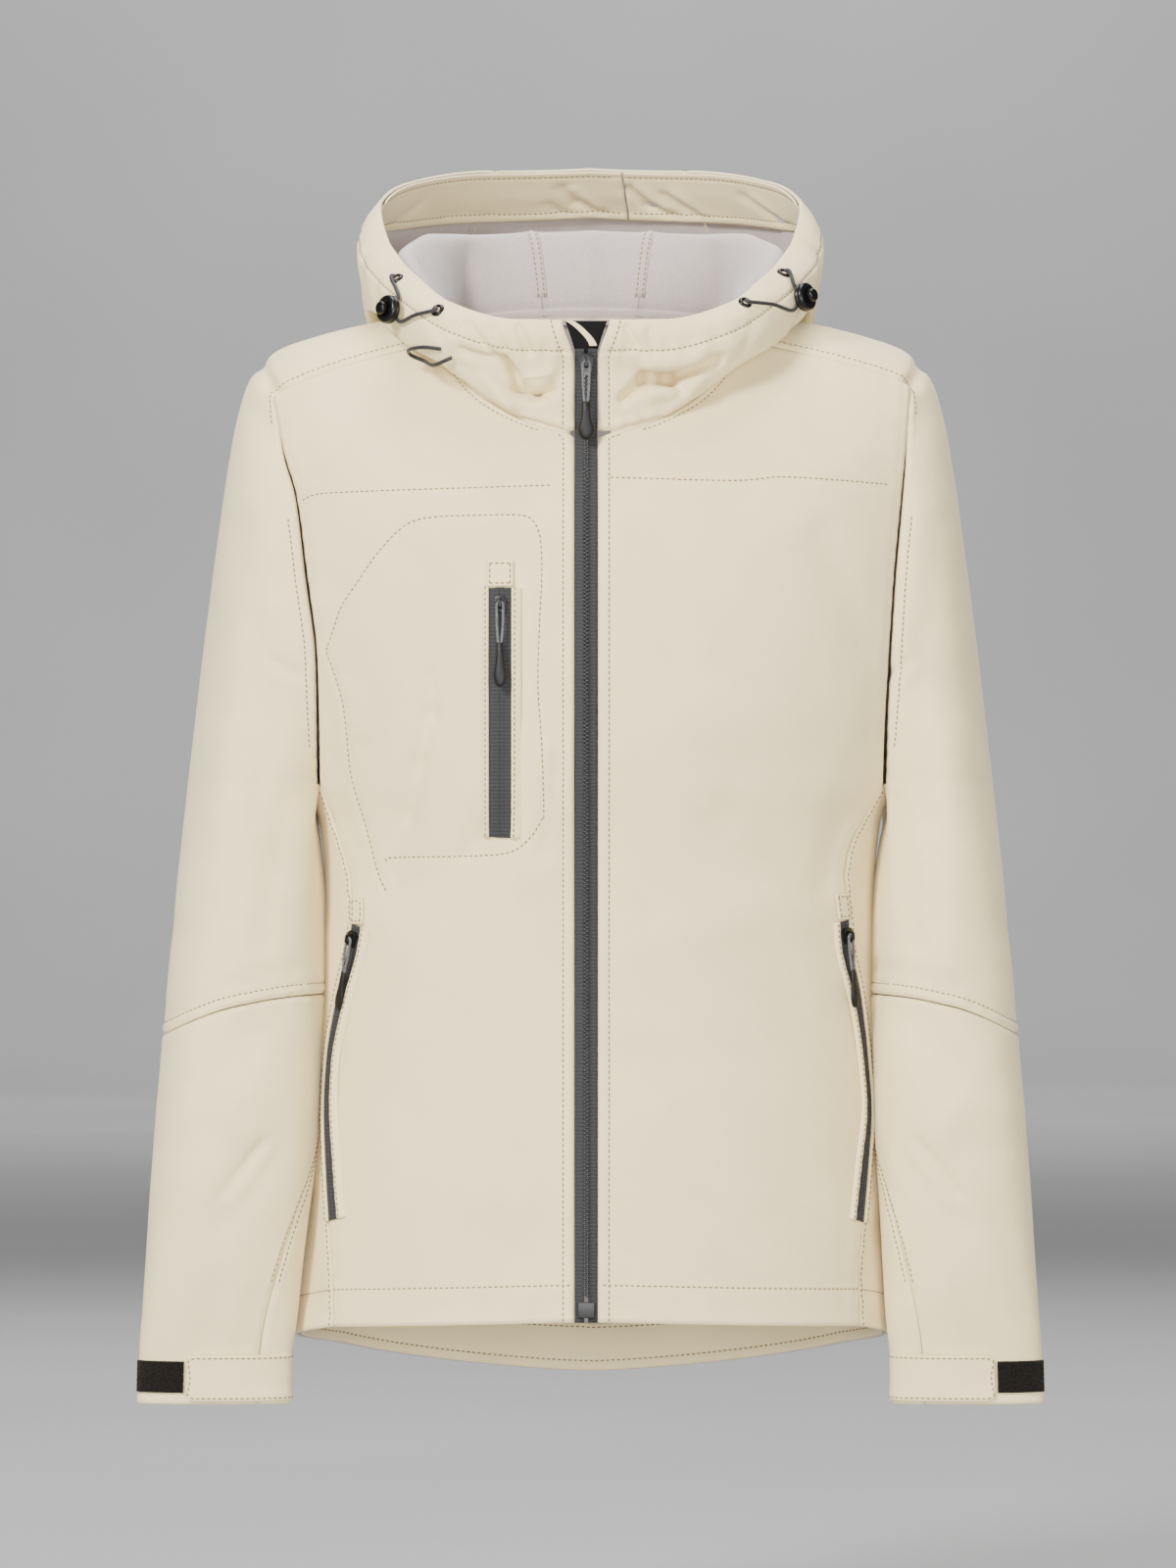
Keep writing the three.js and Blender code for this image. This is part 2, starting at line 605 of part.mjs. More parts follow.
function makeHood(ring) {
  const inset = 1.5;
  const raise = 1.2;
  const stepPlace = (step, turn) => {
    if (step === 'seam') return [look(ring, 'r', turn) - inset, look(ring, 'z', turn) + raise];
    return [look(HOOD, `${step}R`, turn), look(HOOD, `${step}Z`, turn)];
  };
  // A smooth curve through the section's seven steps.
  const section = (turn, v) => {
    const i = Math.min(HOOD_STEPS.length - 2, Math.floor(v));
    const u = v - i;
    const at = (k) => stepPlace(HOOD_STEPS[Math.min(HOOD_STEPS.length - 1, Math.max(0, k))], turn);
    const [p0, p1, p2, p3] = [at(i - 1), at(i), at(i + 1), at(i + 2)];
    return [0, 1].map((k) => 0.5 * (2 * p1[k] + (p2[k] - p0[k]) * u
      + (2 * p0[k] - 5 * p1[k] + 4 * p2[k] - p3[k]) * u * u
      + (3 * p1[k] - p0[k] - 3 * p2[k] + p3[k]) * u ** 3));
  };
  const hoodPoint = (turn, v) => {
    const whole = Math.abs(turn) > 180 ? 360 - Math.abs(turn) : Math.abs(turn);
    const [r, z] = section(whole, v);
    return point(r * Math.sin(radians(turn)), -r * Math.cos(radians(turn)), z);
  };
  const levels = [0, 0.6, 1.1, 1.6, 2.2, 2.7, 3.2, 3.8, 4.4, 5, 5.5, 6];
  const zipTurn = (side, v) => {
    const spread = HOOD_SPREAD * THREE.MathUtils.smoothstep(v, 3.4, 6);
    const edge = Math.abs(ZIP_X + signOf(side) * (ZIP_HALF + SEAM + spread));
    return degrees(Math.asin(edge / section(0, v)[0]));
  };
  const hoodFacing = (turn, v) => {
    const high = Math.min(6, v + 0.1);
    const low = Math.max(0, v - 0.1);
    const round = hoodPoint(turn + 1, v).sub(hoodPoint(turn - 1, v));
    return round.cross(hoodPoint(turn, high).sub(hoodPoint(turn, low))).normalize();
  };
  const columns = 15;
  const gapTurn = degrees((1.5 * SEAM) / 150);
  for (const side of SIDES) {
    const sign = signOf(side);
    const sheet = new Sheet(side === 'right');
    const ids = sheet.net(levels.map((v) => range(columns + 1).map((j) => {
      const turn = mix(zipTurn(side, v), HOOD_SEAM_TURN - gapTurn, j / columns);
      return hoodPoint(sign * turn, v);
    })));
    levels.forEach((v, i) => sheet.face(ids[i][columns], hoodFacing(sign * (HOOD_SEAM_TURN - gapTurn), v)));
    sheet.solid(`hood_${side}`, CREAM);
  }
  const middle = new Sheet();
  const middleColumns = 6;
  const middleTurns = range(middleColumns + 1).map((j) => mix(HOOD_SEAM_TURN, 360 - HOOD_SEAM_TURN,
    j / middleColumns));
  const ids = middle.net(levels.map((v) => middleTurns.map((turn) => hoodPoint(turn, v))));
  levels.forEach((v, i) => {
    middle.face(ids[i][0], hoodFacing(middleTurns[0], v));
    middle.face(ids[i][middleColumns], hoodFacing(middleTurns[middleColumns], v));
  });
  middle.solid('hood_middle', CREAM);
  return { hoodPoint, hoodFacing, section, zipTurn, levels, columns, middleTurns, gapTurn };
}

// A piece that lies on a face: rows of points on that face, moved out along the way it looks.
function layOn(name, colour, rows, outward, options = {}) {
  const trial = new Sheet();
  trial.net(rows);
  const mirrored = trial.normals().reduce((sum, n) => sum + n.dot(outward), 0) < 0;
  const sheet = new Sheet(mirrored);
  sheet.net(rows);
  return sheet.solid(name, colour, { thick: 1.2, lift: LIFT, ...options });
}

const FRONT_WARDS = point(0, -1, 0);
const onFront = (x, z) => bodyPoint(turnAt(x < 0 ? 'right' : 'left', Math.abs(x), z, false), z);

// The cream band inside the hood's face opening, in two halves that meet a little left of the middle.
// Its lower edge climbs from the sides to the centre back.
const BAND_EDGE = table(['turn', 'level'], [
  [105, 5],
  [125, 5.12],
  [150, 5.2],
  [180, 5.28],
]);
function makeHoodFacing(hood) {
  const [level0, level1, level2] = hood.levels.slice(-3);
  const edgePoint = (turn) => {
    const v = look(BAND_EDGE, 'level', Math.min(turn, 360 - turn));
    return hood.hoodPoint(turn, level0).lerp(hood.hoodPoint(turn, level1), (v - level0) / (level1 - level0));
  };
  const lower = (turn, v, place) => place.addScaledVector(hood.hoodFacing(turn, v), -CLOTH - 0.5);
  const sideTurns = (side) => range(hood.columns + 1).map((j) => signOf(side)
    * mix(hood.zipTurn(side, 6), HOOD_SEAM_TURN - hood.gapTurn, j / hood.columns)).slice(10);
  const middle = hood.middleTurns;
  const meet = 2;
  const right = [...sideTurns('right').map((turn) => turn + 360), ...middle.slice(meet, -1).reverse()];
  const left = [...middle.slice(0, meet + 1).slice(1).reverse(), ...sideTurns('left').reverse()];
  for (const [side, turns] of [['right', right], ['left', left]]) {
    const nudge = side === 'right' ? hood.gapTurn : -hood.gapTurn;
    const shifted = turns.map((turn) => (turn === middle[meet] ? turn + nudge : turn));
    const rows = [
      shifted.map((turn) => lower(turn, 5.25, edgePoint(Math.abs(turn)))),
      shifted.map((turn) => lower(turn, level1, hood.hoodPoint(turn, level1))),
      shifted.map((turn) => lower(turn, level2, hood.hoodPoint(turn, level2))),
    ];
    const inward = hood.hoodFacing(shifted[2], 5.5).negate();
    layOn(`hood_facing_${side}`, CREAM, rows, inward, { lift: 0.7 });
  }
}

function makeHemFacing() {
  const inward = (p) => {
    const share = Math.min(1, Math.max(-1, p.y / 30));
    return point(p.x * 0.982, p.y - CLOTH * share, p.z + 0.4);
  };
  const rows = range(2).map((i) => [...flanks.left[i], ...backs.left[i].slice(0, -1).reverse(),
    ...backs.right[i].slice(1, -1), ...flanks.right[i].slice().reverse()].map(inward));
  layOn('hem_facing_back', CREAM, rows, FRONT_WARDS, { lift: 0.7 });
}

// The front zip follows the middle of the front and then the hood up to its slider.
const SLIDER_Z = -9;
function zipPath(hood, top) {
  const body = fronts.right.map((row) => row[0]).filter((p) => p.z < NECK_FRONT_Z + 1)
    .map((p) => ({ z: p.z, y: bodyPoint(-2, p.z).y }));
  const collar = range(60).map((i) => hood.section(0, 0.1 + i / 10)).map(([r, z]) => ({ z, y: -r }))
    .filter(({ z }, i) => z < top && i % 6 === 2);
  return [...body, ...collar];
}

function zipStrip(name, colour, path, from, to, recess, thick) {
  const rows = path.map(({ y, z }) => [from, to].map((x) => point(x, y + recess, z)));
  return layOn(name, colour, rows, FRONT_WARDS, { thick, lift: 0.01 });
}

function makeFrontZip(hood) {
  const teethHalf = 1.7;
  const tapeEdge = teethHalf + 0.3;
  const tapeTop = 0.5;
  const boxHalf = 5.4;
  const boxLevels = [-619, -609];
  const path = zipPath(hood, tapeTop);
  const chainPath = path.filter(({ z }) => z < SLIDER_Z - 7 && z > boxLevels[1] + 3);
  zipStrip('zip_tape_right', TAPE_GREY, path, ZIP_X - ZIP_HALF, ZIP_X - tapeEdge, 1.6, 1);
  zipStrip('zip_tape_left', TAPE_GREY, path, ZIP_X + tapeEdge, ZIP_X + ZIP_HALF, 1.6, 1);
  zipStrip('zip_chain', TAPE_GREY, chainPath, ZIP_X - teethHalf, ZIP_X + teethHalf, 1.8, 1.9);
  const boxRows = boxLevels.map((z) => [-boxHalf, boxHalf]
    .map((x) => onFront(ZIP_X + x, z).add(point(0, 0.4, 0))));
  layOn('zip_box', BLACK, boxRows, FRONT_WARDS, { thick: 2.4, lift: 0.2 });
  const guard = range(4).map((i) => {
    const v = mix(3.6, 5.95, i / 3);
    const [r, z] = hood.section(0, v);
    const half = mix(6, 13.6, i / 3);
    return range(3).map((j) => point(mix(-half, half, j / 2) + ZIP_X, -r + 3.6, z));
  });
  layOn('chin_guard', BLACK, guard, FRONT_WARDS, { thick: 1.5, lift: 0.2 });
  const lip = range(4).map((i) => {
    const v = mix(4.2, 5.95, i / 3);
    const [r, z] = hood.section(0, v);
    const middle = mix(4.5, -11.5, i / 3);
    return [-2.2, 2.2].map((x) => point(middle + x + ZIP_X, -r + 1.75, z));
  });
  layOn('chin_guard_lip', CREAM, lip, FRONT_WARDS, { thick: 1.2, lift: 0.2 });
}

const wasm = await Module();
wasm.setup();

function asManifold(geometry) {
  const bare = geometry.clone();
  bare.deleteAttribute('normal');
  bare.deleteAttribute('uv');
  const merged = mergeVertices(bare);
  return new wasm.Manifold(new wasm.Mesh({
    numProp: 3,
    vertProperties: merged.attributes.position.array,
    triVerts: new Uint32Array(merged.index.array),
  }));
}

function joined(first, ...others) {
  const whole = others.reduce((sum, next) => sum.add(asManifold(next)), asManifold(first)).getMesh();
  const geometry = new THREE.BufferGeometry();
  geometry.setAttribute('position', new THREE.BufferAttribute(whole.vertProperties, 3));
  geometry.setIndex(new THREE.BufferAttribute(whole.triVerts, 1));
  return geometry;
}

// A hard piece is made flat with X across, Y up the zip and Z outwards, and then set in place.
function setPiece(name, colour, geometry, frame, { rough = 0.5, metal = 0 } = {}) {
  geometry.computeVertexNormals();
  const material = new THREE.MeshStandardMaterial({ color: colour, roughness: rough, metalness: metal });
  const mesh = new THREE.Mesh(geometry, material);
  mesh.name = name;
  mesh.applyMatrix4(frame);
  group.add(mesh);
  return mesh;
}

function frameAt(place, outward, up = point(0, 0, 1)) {
  const z = outward.clone().normalize();
  const x = up.clone().cross(z).normalize();
  const y = z.clone().cross(x);
  return new THREE.Matrix4().makeBasis(x, y, z).setPosition(place);
}

function plate(outline, thick, holes = []) {
  const shape = new THREE.Shape(outline.map(([x, y]) => new THREE.Vector2(x, y)));
  for (const hole of holes) shape.holes.push(new THREE.Path(hole.map(([x, y]) => new THREE.Vector2(x, y))));
  return new THREE.ExtrudeGeometry(shape, { depth: thick, bevelEnabled: false });
}

const SLIDER_THICK = 2.2;
const BRIDGE_HALF = 0.75;
function sliderShape(width, length) {
  const w = width / 2;
  const l = length / 2;
  const body = plate([[-w * 0.7, -l], [w * 0.7, -l], [w * 0.8, 0], [w, l * 0.6], [w * 0.6, l],
    [-w * 0.6, l], [-w, l * 0.6], [-w * 0.8, 0]], SLIDER_THICK);
  const arch = plate([[-3.4, -0.4], [-3.4, 2.2], [-2.2, 4.2], [2.2, 4.2], [3.4, 2.2], [3.4, -0.4],
    [2.1, -0.4], [2.1, 1.8], [1.4, 2.9], [-1.4, 2.9], [-2.1, 1.8], [-2.1, -0.4]], 2 * BRIDGE_HALF);
  arch.translate(0, 0, -BRIDGE_HALF);
  arch.rotateY(Math.PI / 2);
  arch.rotateX(Math.PI / 2);
  arch.translate(0, 0, SLIDER_THICK);
  return joined(body, arch);
}

function stadium(half, top, bottom, steps) {
  const arc = (cy, from) => range(steps + 1).map((i) => {
    const a = from + (Math.PI * i) / steps;
    return [half * Math.cos(a), cy + half * Math.sin(a)];
  });
  return [...arc(top, 0), ...arc(bottom, Math.PI)];
}

// A pull hangs from the slider's bridge: a flat loop of cord with a moulded end.
const LOOP_INNER = 1.15;
const LOOP_CORD = 1.7;
function makePull(label, frame, cordLength, endLength, endWide) {
  const loopZ = SLIDER_THICK + 0.45;
  const top = -LOOP_INNER - 0.1;
  const outer = stadium(LOOP_INNER + LOOP_CORD, top, -cordLength + LOOP_INNER, 4);
  const inner = stadium(LOOP_INNER, top, -cordLength + LOOP_INNER, 4);
  const loop = plate(outer, LOOP_CORD, [inner.reverse()]);
  loop.translate(0, 0, loopZ);
  setPiece(`pull_cord_${label}`, CORD_GREY, loop, frame, { rough: 0.8 });
  const start = -cordLength - LOOP_CORD - 0.3;
  const profile = table(['u', 'wide', 'deep'], [
    [0, 0.5, 0.36],
    [0.3, 0.56, 0.4],
    [0.72, 1, 0.5],
    [0.92, 0.82, 0.44],
    [1, 0.4, 0.3],
  ]);
  const around = 8;
  const points = [];
  const faces = [];
  const levels = [0, 0.25, 0.5, 0.72, 0.88, 1];
  levels.forEach((u) => range(around).forEach((k) => {
    const a = (2 * Math.PI * k) / around;
    points.push(point((endWide / 2) * look(profile, 'wide', u) * Math.cos(a), start - u * endLength,
      loopZ + LOOP_CORD / 2 + (endWide / 2) * look(profile, 'deep', u) * Math.sin(a)));
  }));
  for (let i = 0; i + 1 < levels.length; i += 1) {
    for (let k = 0; k < around; k += 1) {
      const [a, b] = [i * around + k, i * around + ((k + 1) % around)];
      faces.push([a, b, b + around], [a, b + around, a + around]);
    }
  }
  for (let k = 1; k + 1 < around; k += 1) {
    faces.push([0, k + 1, k]);
    const base = (levels.length - 1) * around;
    faces.push([base, base + k, base + k + 1]);
  }
  const end = new THREE.BufferGeometry();
  end.setAttribute('position', new THREE.Float32BufferAttribute(points.flatMap((p) => p.toArray()), 3));
  end.setIndex(faces.flat());
  setPiece(`pull_end_${label}`, BLACK, end, frame, { rough: 0.45 });
}

// The zips, each with its slider, the loop of cord on it and its moulded end.
function frontFrame(x, z, raise) {
  const across = onFront(x + 4, z).sub(onFront(x - 4, z));
  const up = onFront(x, z + 6).sub(onFront(x, z - 6));
  const outward = across.cross(up).normalize();
  return frameAt(onFront(x, z).addScaledVector(outward, raise), outward, up);
}

const ZIP_LAY = { thick: 1.2, lift: 0.9 }; // how a pocket's zip lies on its panel
const GARAGE_LAY = { thick: 1.4, lift: 0.9 };
const GARAGE = 17; // height of the cloth garage above a pocket's zip
const SLIDER_RAISE = 2.5; // from the panel to the back of a pocket's slider

function makeChestPocket() {
  const x = -57.5;
  const [low, high] = [-313, -153];
  const spots = (half, z) => [-half, 0, half].map((dx) => onFront(x + dx, z));
  const rows = range(13).map((i) => spots(8, mix(low, high, i / 12)));
  layOn('chest_zip', TAPE_GREY, rows, FRONT_WARDS, ZIP_LAY);
  const flap = range(3).map((i) => spots(8.4, mix(high + SEAM, high + GARAGE, i / 2)));
  layOn('chest_zip_garage', CREAM, flap, FRONT_WARDS, GARAGE_LAY);
  const frame = frontFrame(x + 0.5, -164, SLIDER_RAISE);
  setPiece('chest_slider', BLACK, sliderShape(8, 10), frame, { rough: 0.35 });
  makePull('chest', frame, 23, 28, 8.6);
}

const POCKETS = table(['side', 'low', 'high', 'inset', 'slider'], [
  ['right', -560, -369, 7, -378],
  ['left', -561, -366, 7, -376],
]);
function makeSidePocket([side, low, high, inset, sliderZ]) {
  const sign = signOf(side);
  const along = (z, out) => {
    const edge = turnAt(side, look(FRONT_EDGE, side, z), z, false);
    return bodyPoint(edge - sign * degrees(out / 118), z);
  };
  const spots = (z) => [1.5, inset, 2 * inset - 1.5].map((out) => along(z, out));
  const rows = range(15).map((i) => spots(mix(low, high, i / 14)));
  const outward = point(sign * 0.7, -0.7, 0);
  layOn(`pocket_zip_${side}`, TAPE_GREY, rows, outward, ZIP_LAY);
  const flap = range(3).map((i) => spots(mix(high + SEAM, high + GARAGE, i / 2)));
  layOn(`pocket_garage_${side}`, CREAM, flap, outward, GARAGE_LAY);
  const place = along(sliderZ, inset);
  const across = along(sliderZ, inset - 4).sub(along(sliderZ, inset + 4)).multiplyScalar(sign);
  const up = along(sliderZ + 6, inset).sub(along(sliderZ - 6, inset));
  const facing = across.cross(up).normalize();
  const frame = frameAt(place.addScaledVector(facing, SLIDER_RAISE), facing, up);
  setPiece(`pocket_slider_${side}`, BLACK, sliderShape(8, 10), frame, { rough: 0.35 });
  makePull(`pocket_${side}`, frame, 20, 25, 7);
}

// The cuff is drawn in by a tab that lies across its front on a dark patch of hooks and loops.
function makeCuff(side) {
  const rows = (low, high, from, to, count) => [low, (low + high) / 2, high].map((z) => range(count + 1)
    .map((j) => armPoint(side, mix(from, to, j / count), z)));
  const tab = rows(-677.2, -646.7, -73, -186, 14);
  const patch = rows(-671.5, -651, -70.5, -12, 8);
  layOn(`cuff_tab_${side}`, CREAM, tab, FRONT_WARDS, { thick: 1.6, lift: 0.8 });
  layOn(`cuff_patch_${side}`, PATCH, patch, FRONT_WARDS, { thick: 1.1, lift: 0.8 });
}

const EYELETS = table(['name', 'turn', 'level'], [
  ['right_upper', -67, 5.35],
  ['right_lower', -47, 5.25],
  ['left_upper', 69, 5.5],
  ['left_lower', 49, 5.5],
]);
const LOCKS = table(['side', 'turn', 'level'], [
  ['right', -61, 4.3],
  ['left', 67, 4.45],
]);

function ringShape(outer, inner, height, sides) {
  const profile = [[inner, 0], [outer, 0], [outer, height * 0.5], [mix(inner, outer, 0.6), height],
    [inner, height * 0.8], [inner, 0]];
  const lathe = new THREE.LatheGeometry(profile.map(([x, y]) => new THREE.Vector2(x, y)), sides);
  lathe.rotateX(Math.PI / 2);
  return lathe;
}

function discShape(radius, height, rim, sides) {
  const profile = [[0, 0], [radius - rim, 0], [radius, rim], [radius, height - rim], [radius - rim, height],
    [0, height]];
  const lathe = new THREE.LatheGeometry(profile.map(([x, y]) => new THREE.Vector2(x, y)), sides);
  lathe.rotateX(Math.PI / 2);
  return lathe;
}

function tubeAlong(route, radius, steps) {
  const curve = new THREE.CatmullRomCurve3(route, false, 'centripetal');
  const circle = new THREE.Shape(range(6).map((k) => new THREE.Vector2(
    radius * Math.cos((Math.PI * k) / 3),
    radius * Math.sin((Math.PI * k) / 3),
  )));
  return new THREE.ExtrudeGeometry(circle, { steps, extrudePath: curve, bevelEnabled: false });
}

function makeCordFittings(hood) {
  const still = new THREE.Matrix4();
  const spot = (turn, level, raise) => hood.hoodPoint(turn, level)
    .addScaledVector(hood.hoodFacing(turn, level), raise);
  for (const [name, turn, level] of EYELETS.rows) {
    const frame = frameAt(spot(turn, level, LIFT), hood.hoodFacing(turn, level));
    setPiece(`eyelet_${name}`, BLACK, ringShape(4.2, 2.2, 1.6, 12), frame, { rough: 0.3 });
  }
  for (const [side, turn, level] of LOCKS.rows) {
    const facing = hood.hoodFacing(turn, level);
    const centre = spot(turn, level, 4.4);
    const frame = frameAt(centre, facing);
    setPiece(`cord_lock_${side}`, BLACK, discShape(9.3, 6.6, 1.6, 16), frame, { rough: 0.3 });
    const plunger = frame.clone().multiply(new THREE.Matrix4().makeTranslation(0, 0, 6.9));
    setPiece(`cord_plunger_${side}`, BLACK, discShape(4.2, 4.2, 1, 12), plunger, { rough: 0.3 });
    const eyelet = (place) => EYELETS.rows.find(([name]) => name === `${side}_${place}`);
    const [, upperTurn, upperLevel] = eyelet('upper');
    const [, lowerTurn, lowerLevel] = eyelet('lower');
    const route = [
      spot(upperTurn, upperLevel, 2.9),
      spot(upperTurn, upperLevel - 0.14, 4.2),
      spot(turn, level + 0.55, 3.0),
      spot(turn, level + 0.05, 2.6),
      spot(mix(turn, lowerTurn, 0.2), level - 0.25, 3.0),
      spot(mix(turn, lowerTurn, 0.6), mix(level, lowerLevel, 0.3), 3.6),
      spot(lowerTurn, lowerLevel - 0.15, 4.2),
      spot(lowerTurn, lowerLevel, 2.9),
    ];
    setPiece(`drawcord_${side}`, BLACK, tubeAlong(route, 1.1, 15), still, { rough: 0.7 });
  }
  const loop = [[-55, 3.3, 1.4], [-52, 3.05, 3.6], [-47, 3, 4], [-43, 3.2, 1.4]];
  const loopRoute = loop.map(([turn, level, raise]) => spot(turn, level, raise));
  setPiece('elastic_end', BLACK, tubeAlong(loopRoute, 1.1, 8), still, { rough: 0.7 });
}

makeBodyPanels();
const shoulderEnds = {};
for (const side of SIDES) shoulderEnds[side] = makeSleeve(side);
const hood = makeHood(neckRing(shoulderEnds));
makeHoodFacing(hood);
makeHemFacing();
makeFrontZip(hood);
makeChestPocket();
for (const pocket of POCKETS.rows) makeSidePocket(pocket);
for (const side of SIDES) makeCuff(side);
makeCordFittings(hood);
const frontSlider = frameAt(point(ZIP_X, -102.3, SLIDER_Z), point(0, -1, 0));
setPiece('zip_slider', BLACK, sliderShape(10, 12), frontSlider, { rough: 0.35 });
makePull('front', frontSlider, 23, 24, 11);

export default group;
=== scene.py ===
"""A cream hooded softshell jacket, filled out as worn. The tables below are in millimetres."""
import math

import bpy
import numpy as np
from bpy.props import FloatProperty, FloatVectorProperty, PointerProperty
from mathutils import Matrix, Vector
from mathutils.bvhtree import BVHTree


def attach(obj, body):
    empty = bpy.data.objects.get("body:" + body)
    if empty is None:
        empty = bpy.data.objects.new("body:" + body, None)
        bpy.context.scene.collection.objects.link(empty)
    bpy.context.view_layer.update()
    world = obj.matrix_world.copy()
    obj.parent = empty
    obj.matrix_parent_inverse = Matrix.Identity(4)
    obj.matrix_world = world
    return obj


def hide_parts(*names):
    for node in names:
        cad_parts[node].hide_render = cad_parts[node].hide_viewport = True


bl_info = {
    "name": "Softshell jacket",
    "version": (1, 0, 0),
    "blender": (4, 5, 0),
    "location": "View3D > Sidebar > Jacket",
    "description": "Dresses the packed model of a hooded softshell jacket",
    "category": "Object",
}

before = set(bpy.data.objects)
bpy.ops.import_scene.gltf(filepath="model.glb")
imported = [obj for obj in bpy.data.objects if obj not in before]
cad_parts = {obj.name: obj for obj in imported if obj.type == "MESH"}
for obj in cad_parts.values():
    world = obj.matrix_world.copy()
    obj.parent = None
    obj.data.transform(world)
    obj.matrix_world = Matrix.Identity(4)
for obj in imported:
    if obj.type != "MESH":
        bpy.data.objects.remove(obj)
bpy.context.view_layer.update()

# Sizes that the solids use too, in millimetres.
CLOTH = 2.0
SEAM = 0.4
ROUND = 2.3
ZIP_X = -2.8
ZIP_HALF = 7.2
NECK_FRONT_Z = -53
NECK_SIDE_Z = 10
NECK_BACK_Z = 30
ARMHOLE_Z = -278
ARMHOLE_DIP = 8
HOOD_SPREAD = 7
BACK_SEAM_TURN = 122
SHOULDER_Z = {"right": -28, "left": -21}
HEM_SIDE_Z = -628
ELBOW_OUTER_Z = -441
ELBOW_INNER_Z = -415
SLEEVE_END_Z = -679
HOOD_SEAM_TURN = 154
SLIDER_Z = -9
SIDES = ("right", "left")
SIGN = {"right": -1, "left": 1}


class Table:
    """Named columns over a rising first column. Between rows a value follows a smooth curve."""

    def __init__(self, columns, rows):
        self.columns = columns.split()
        self.rows = np.array(rows, float)

    def __call__(self, column, at):
        """The column's value at one place or at an array of places."""
        x = self.rows[:, 0]
        y = self.rows[:, self.columns.index(column)]
        rise = np.diff(y) / np.diff(x)
        slope = np.concatenate([rise[:1], np.zeros(len(x) - 2), rise[-1:]])
        before, after = rise[:-1], rise[1:]
        same = before * after > 0
        total = np.where(same, before + after, 1)
        slope[1:-1] = np.where(same, 2 * before * after / total, 0)
        at = np.clip(at, x[0], x[-1])
        i = np.clip(np.searchsorted(x, at, side="right") - 1, 0, len(x) - 2)
        span = x[i + 1] - x[i]
        u = (at - x[i]) / span
        start = y[i] * (1 + 2 * u) * (1 - u) ** 2 + span * slope[i] * u * (1 - u) ** 2
        end = y[i + 1] * u * u * (3 - 2 * u) + span * slope[i + 1] * u * u * (u - 1)
        return start + end


TORSO = Table("z right left front back", [
    [-690, 195, 196, 114, 112],
    [-625, 193, 195, 116, 113],
    [-560, 186, 192, 117, 112],
    [-500, 181, 188, 116, 108],
    [-440, 176.5, 185, 114, 102],
    [-390, 174, 184.5, 112, 98],
    [-342, 173.5, 185.5, 114, 100],
    [-304, 177, 189, 118, 105],
    [-278, 186, 199, 122, 108],
    [-200, 205, 214, 127, 116],
    [-125, 215, 223, 121, 119],
    [-75, 224, 230, 106, 114],
    [-45, 230, 235, 90, 106],
    [-25, 236, 239, 76, 97],
    [-5, 243, 245, 60, 86],
    [12, 249, 250, 46, 74],
    [35, 256, 256, 30, 62],
])
FRONT_EDGE = Table("z right left", [
    [-628, 166, 174],
    [-598, 167, 174],
    [-561, 169.5, 177],
    [-523, 171.5, 180],
    [-491, 172.5, 182],
    [-459, 171, 180],
    [-416, 164, 175],
    [-380, 156, 168],
    [-361, 154, 167],
    [-338, 156, 165],
    [-317, 162, 169],
    [-304, 167, 176],
    [-287, 173, 186],
    [-278, 175.5, 190],
    [-235, 175.7, 191],
    [-197, 176.4, 193],
    [-147, 182.7, 196],
    [-94, 189.6, 201],
    [-64, 198.5, 204],
    [-28, 206, 207.5],
])
BACK_EDGE = Table("z right left", [
    [-278, 175.5, 190],
    [-200, 177, 188],
    [-125, 183, 192],
    [-70, 194, 201],
    [-28, 205, 207],
])
NECK = Table("z half", [[-53, 14], [-50, 30], [-47, 38], [-40, 53], [-29, 69], [-17, 80], [-7, 86], [10, 90]])
HEM = Table("turn z", [[0, -622], [60, -626], [90, -631], [115, -643], [135, -656], [155, -666], [180, -670]])
SHOULDER = Table("along x z tilt wrap", [
    [0, 262.7, -278, 0, 138],
    [80, 253.8, -201, 3, 108],
    [155, 244.5, -128, 7, 104],
    [210, 236.5, -72, 13, 92],
    [235, 231, -42, 24, 78],
    [255, 221.5, -13, 48, 62],
    [275, 204, 4.5, 66, 55],
    [300, 181, 13, 74, 52],
    [330, 150, 21, 78, 50],
    [375, 96, 31, 82, 48],
])
ARM = Table("z outer innerright innerleft deep y", [
    [-684, 293.5, 195.8, 196.4, 14, -42],
    [-650, 292.5, 195.2, 196, 17, -41],
    [-620, 290.5, 193.6, 195.2, 24, -41],
    [-585, 288, 190.3, 193.5, 33, -40],
    [-536, 285, 183.8, 190.5, 43, -37],
    [-509, 283, 180.3, 187.8, 47, -34],
    [-470, 280, 177.2, 185.6, 51, -30],
    [-438, 277.5, 175.6, 184.2, 54, -26],
    [-400, 274.3, 174, 184, 57, -20],
    [-355, 270.4, 174.2, 185.6, 60, -13],
    [-320, 267, 177.5, 190, 63, -7],
    [-278, 262.7, 186, 200, 65, 0],
])
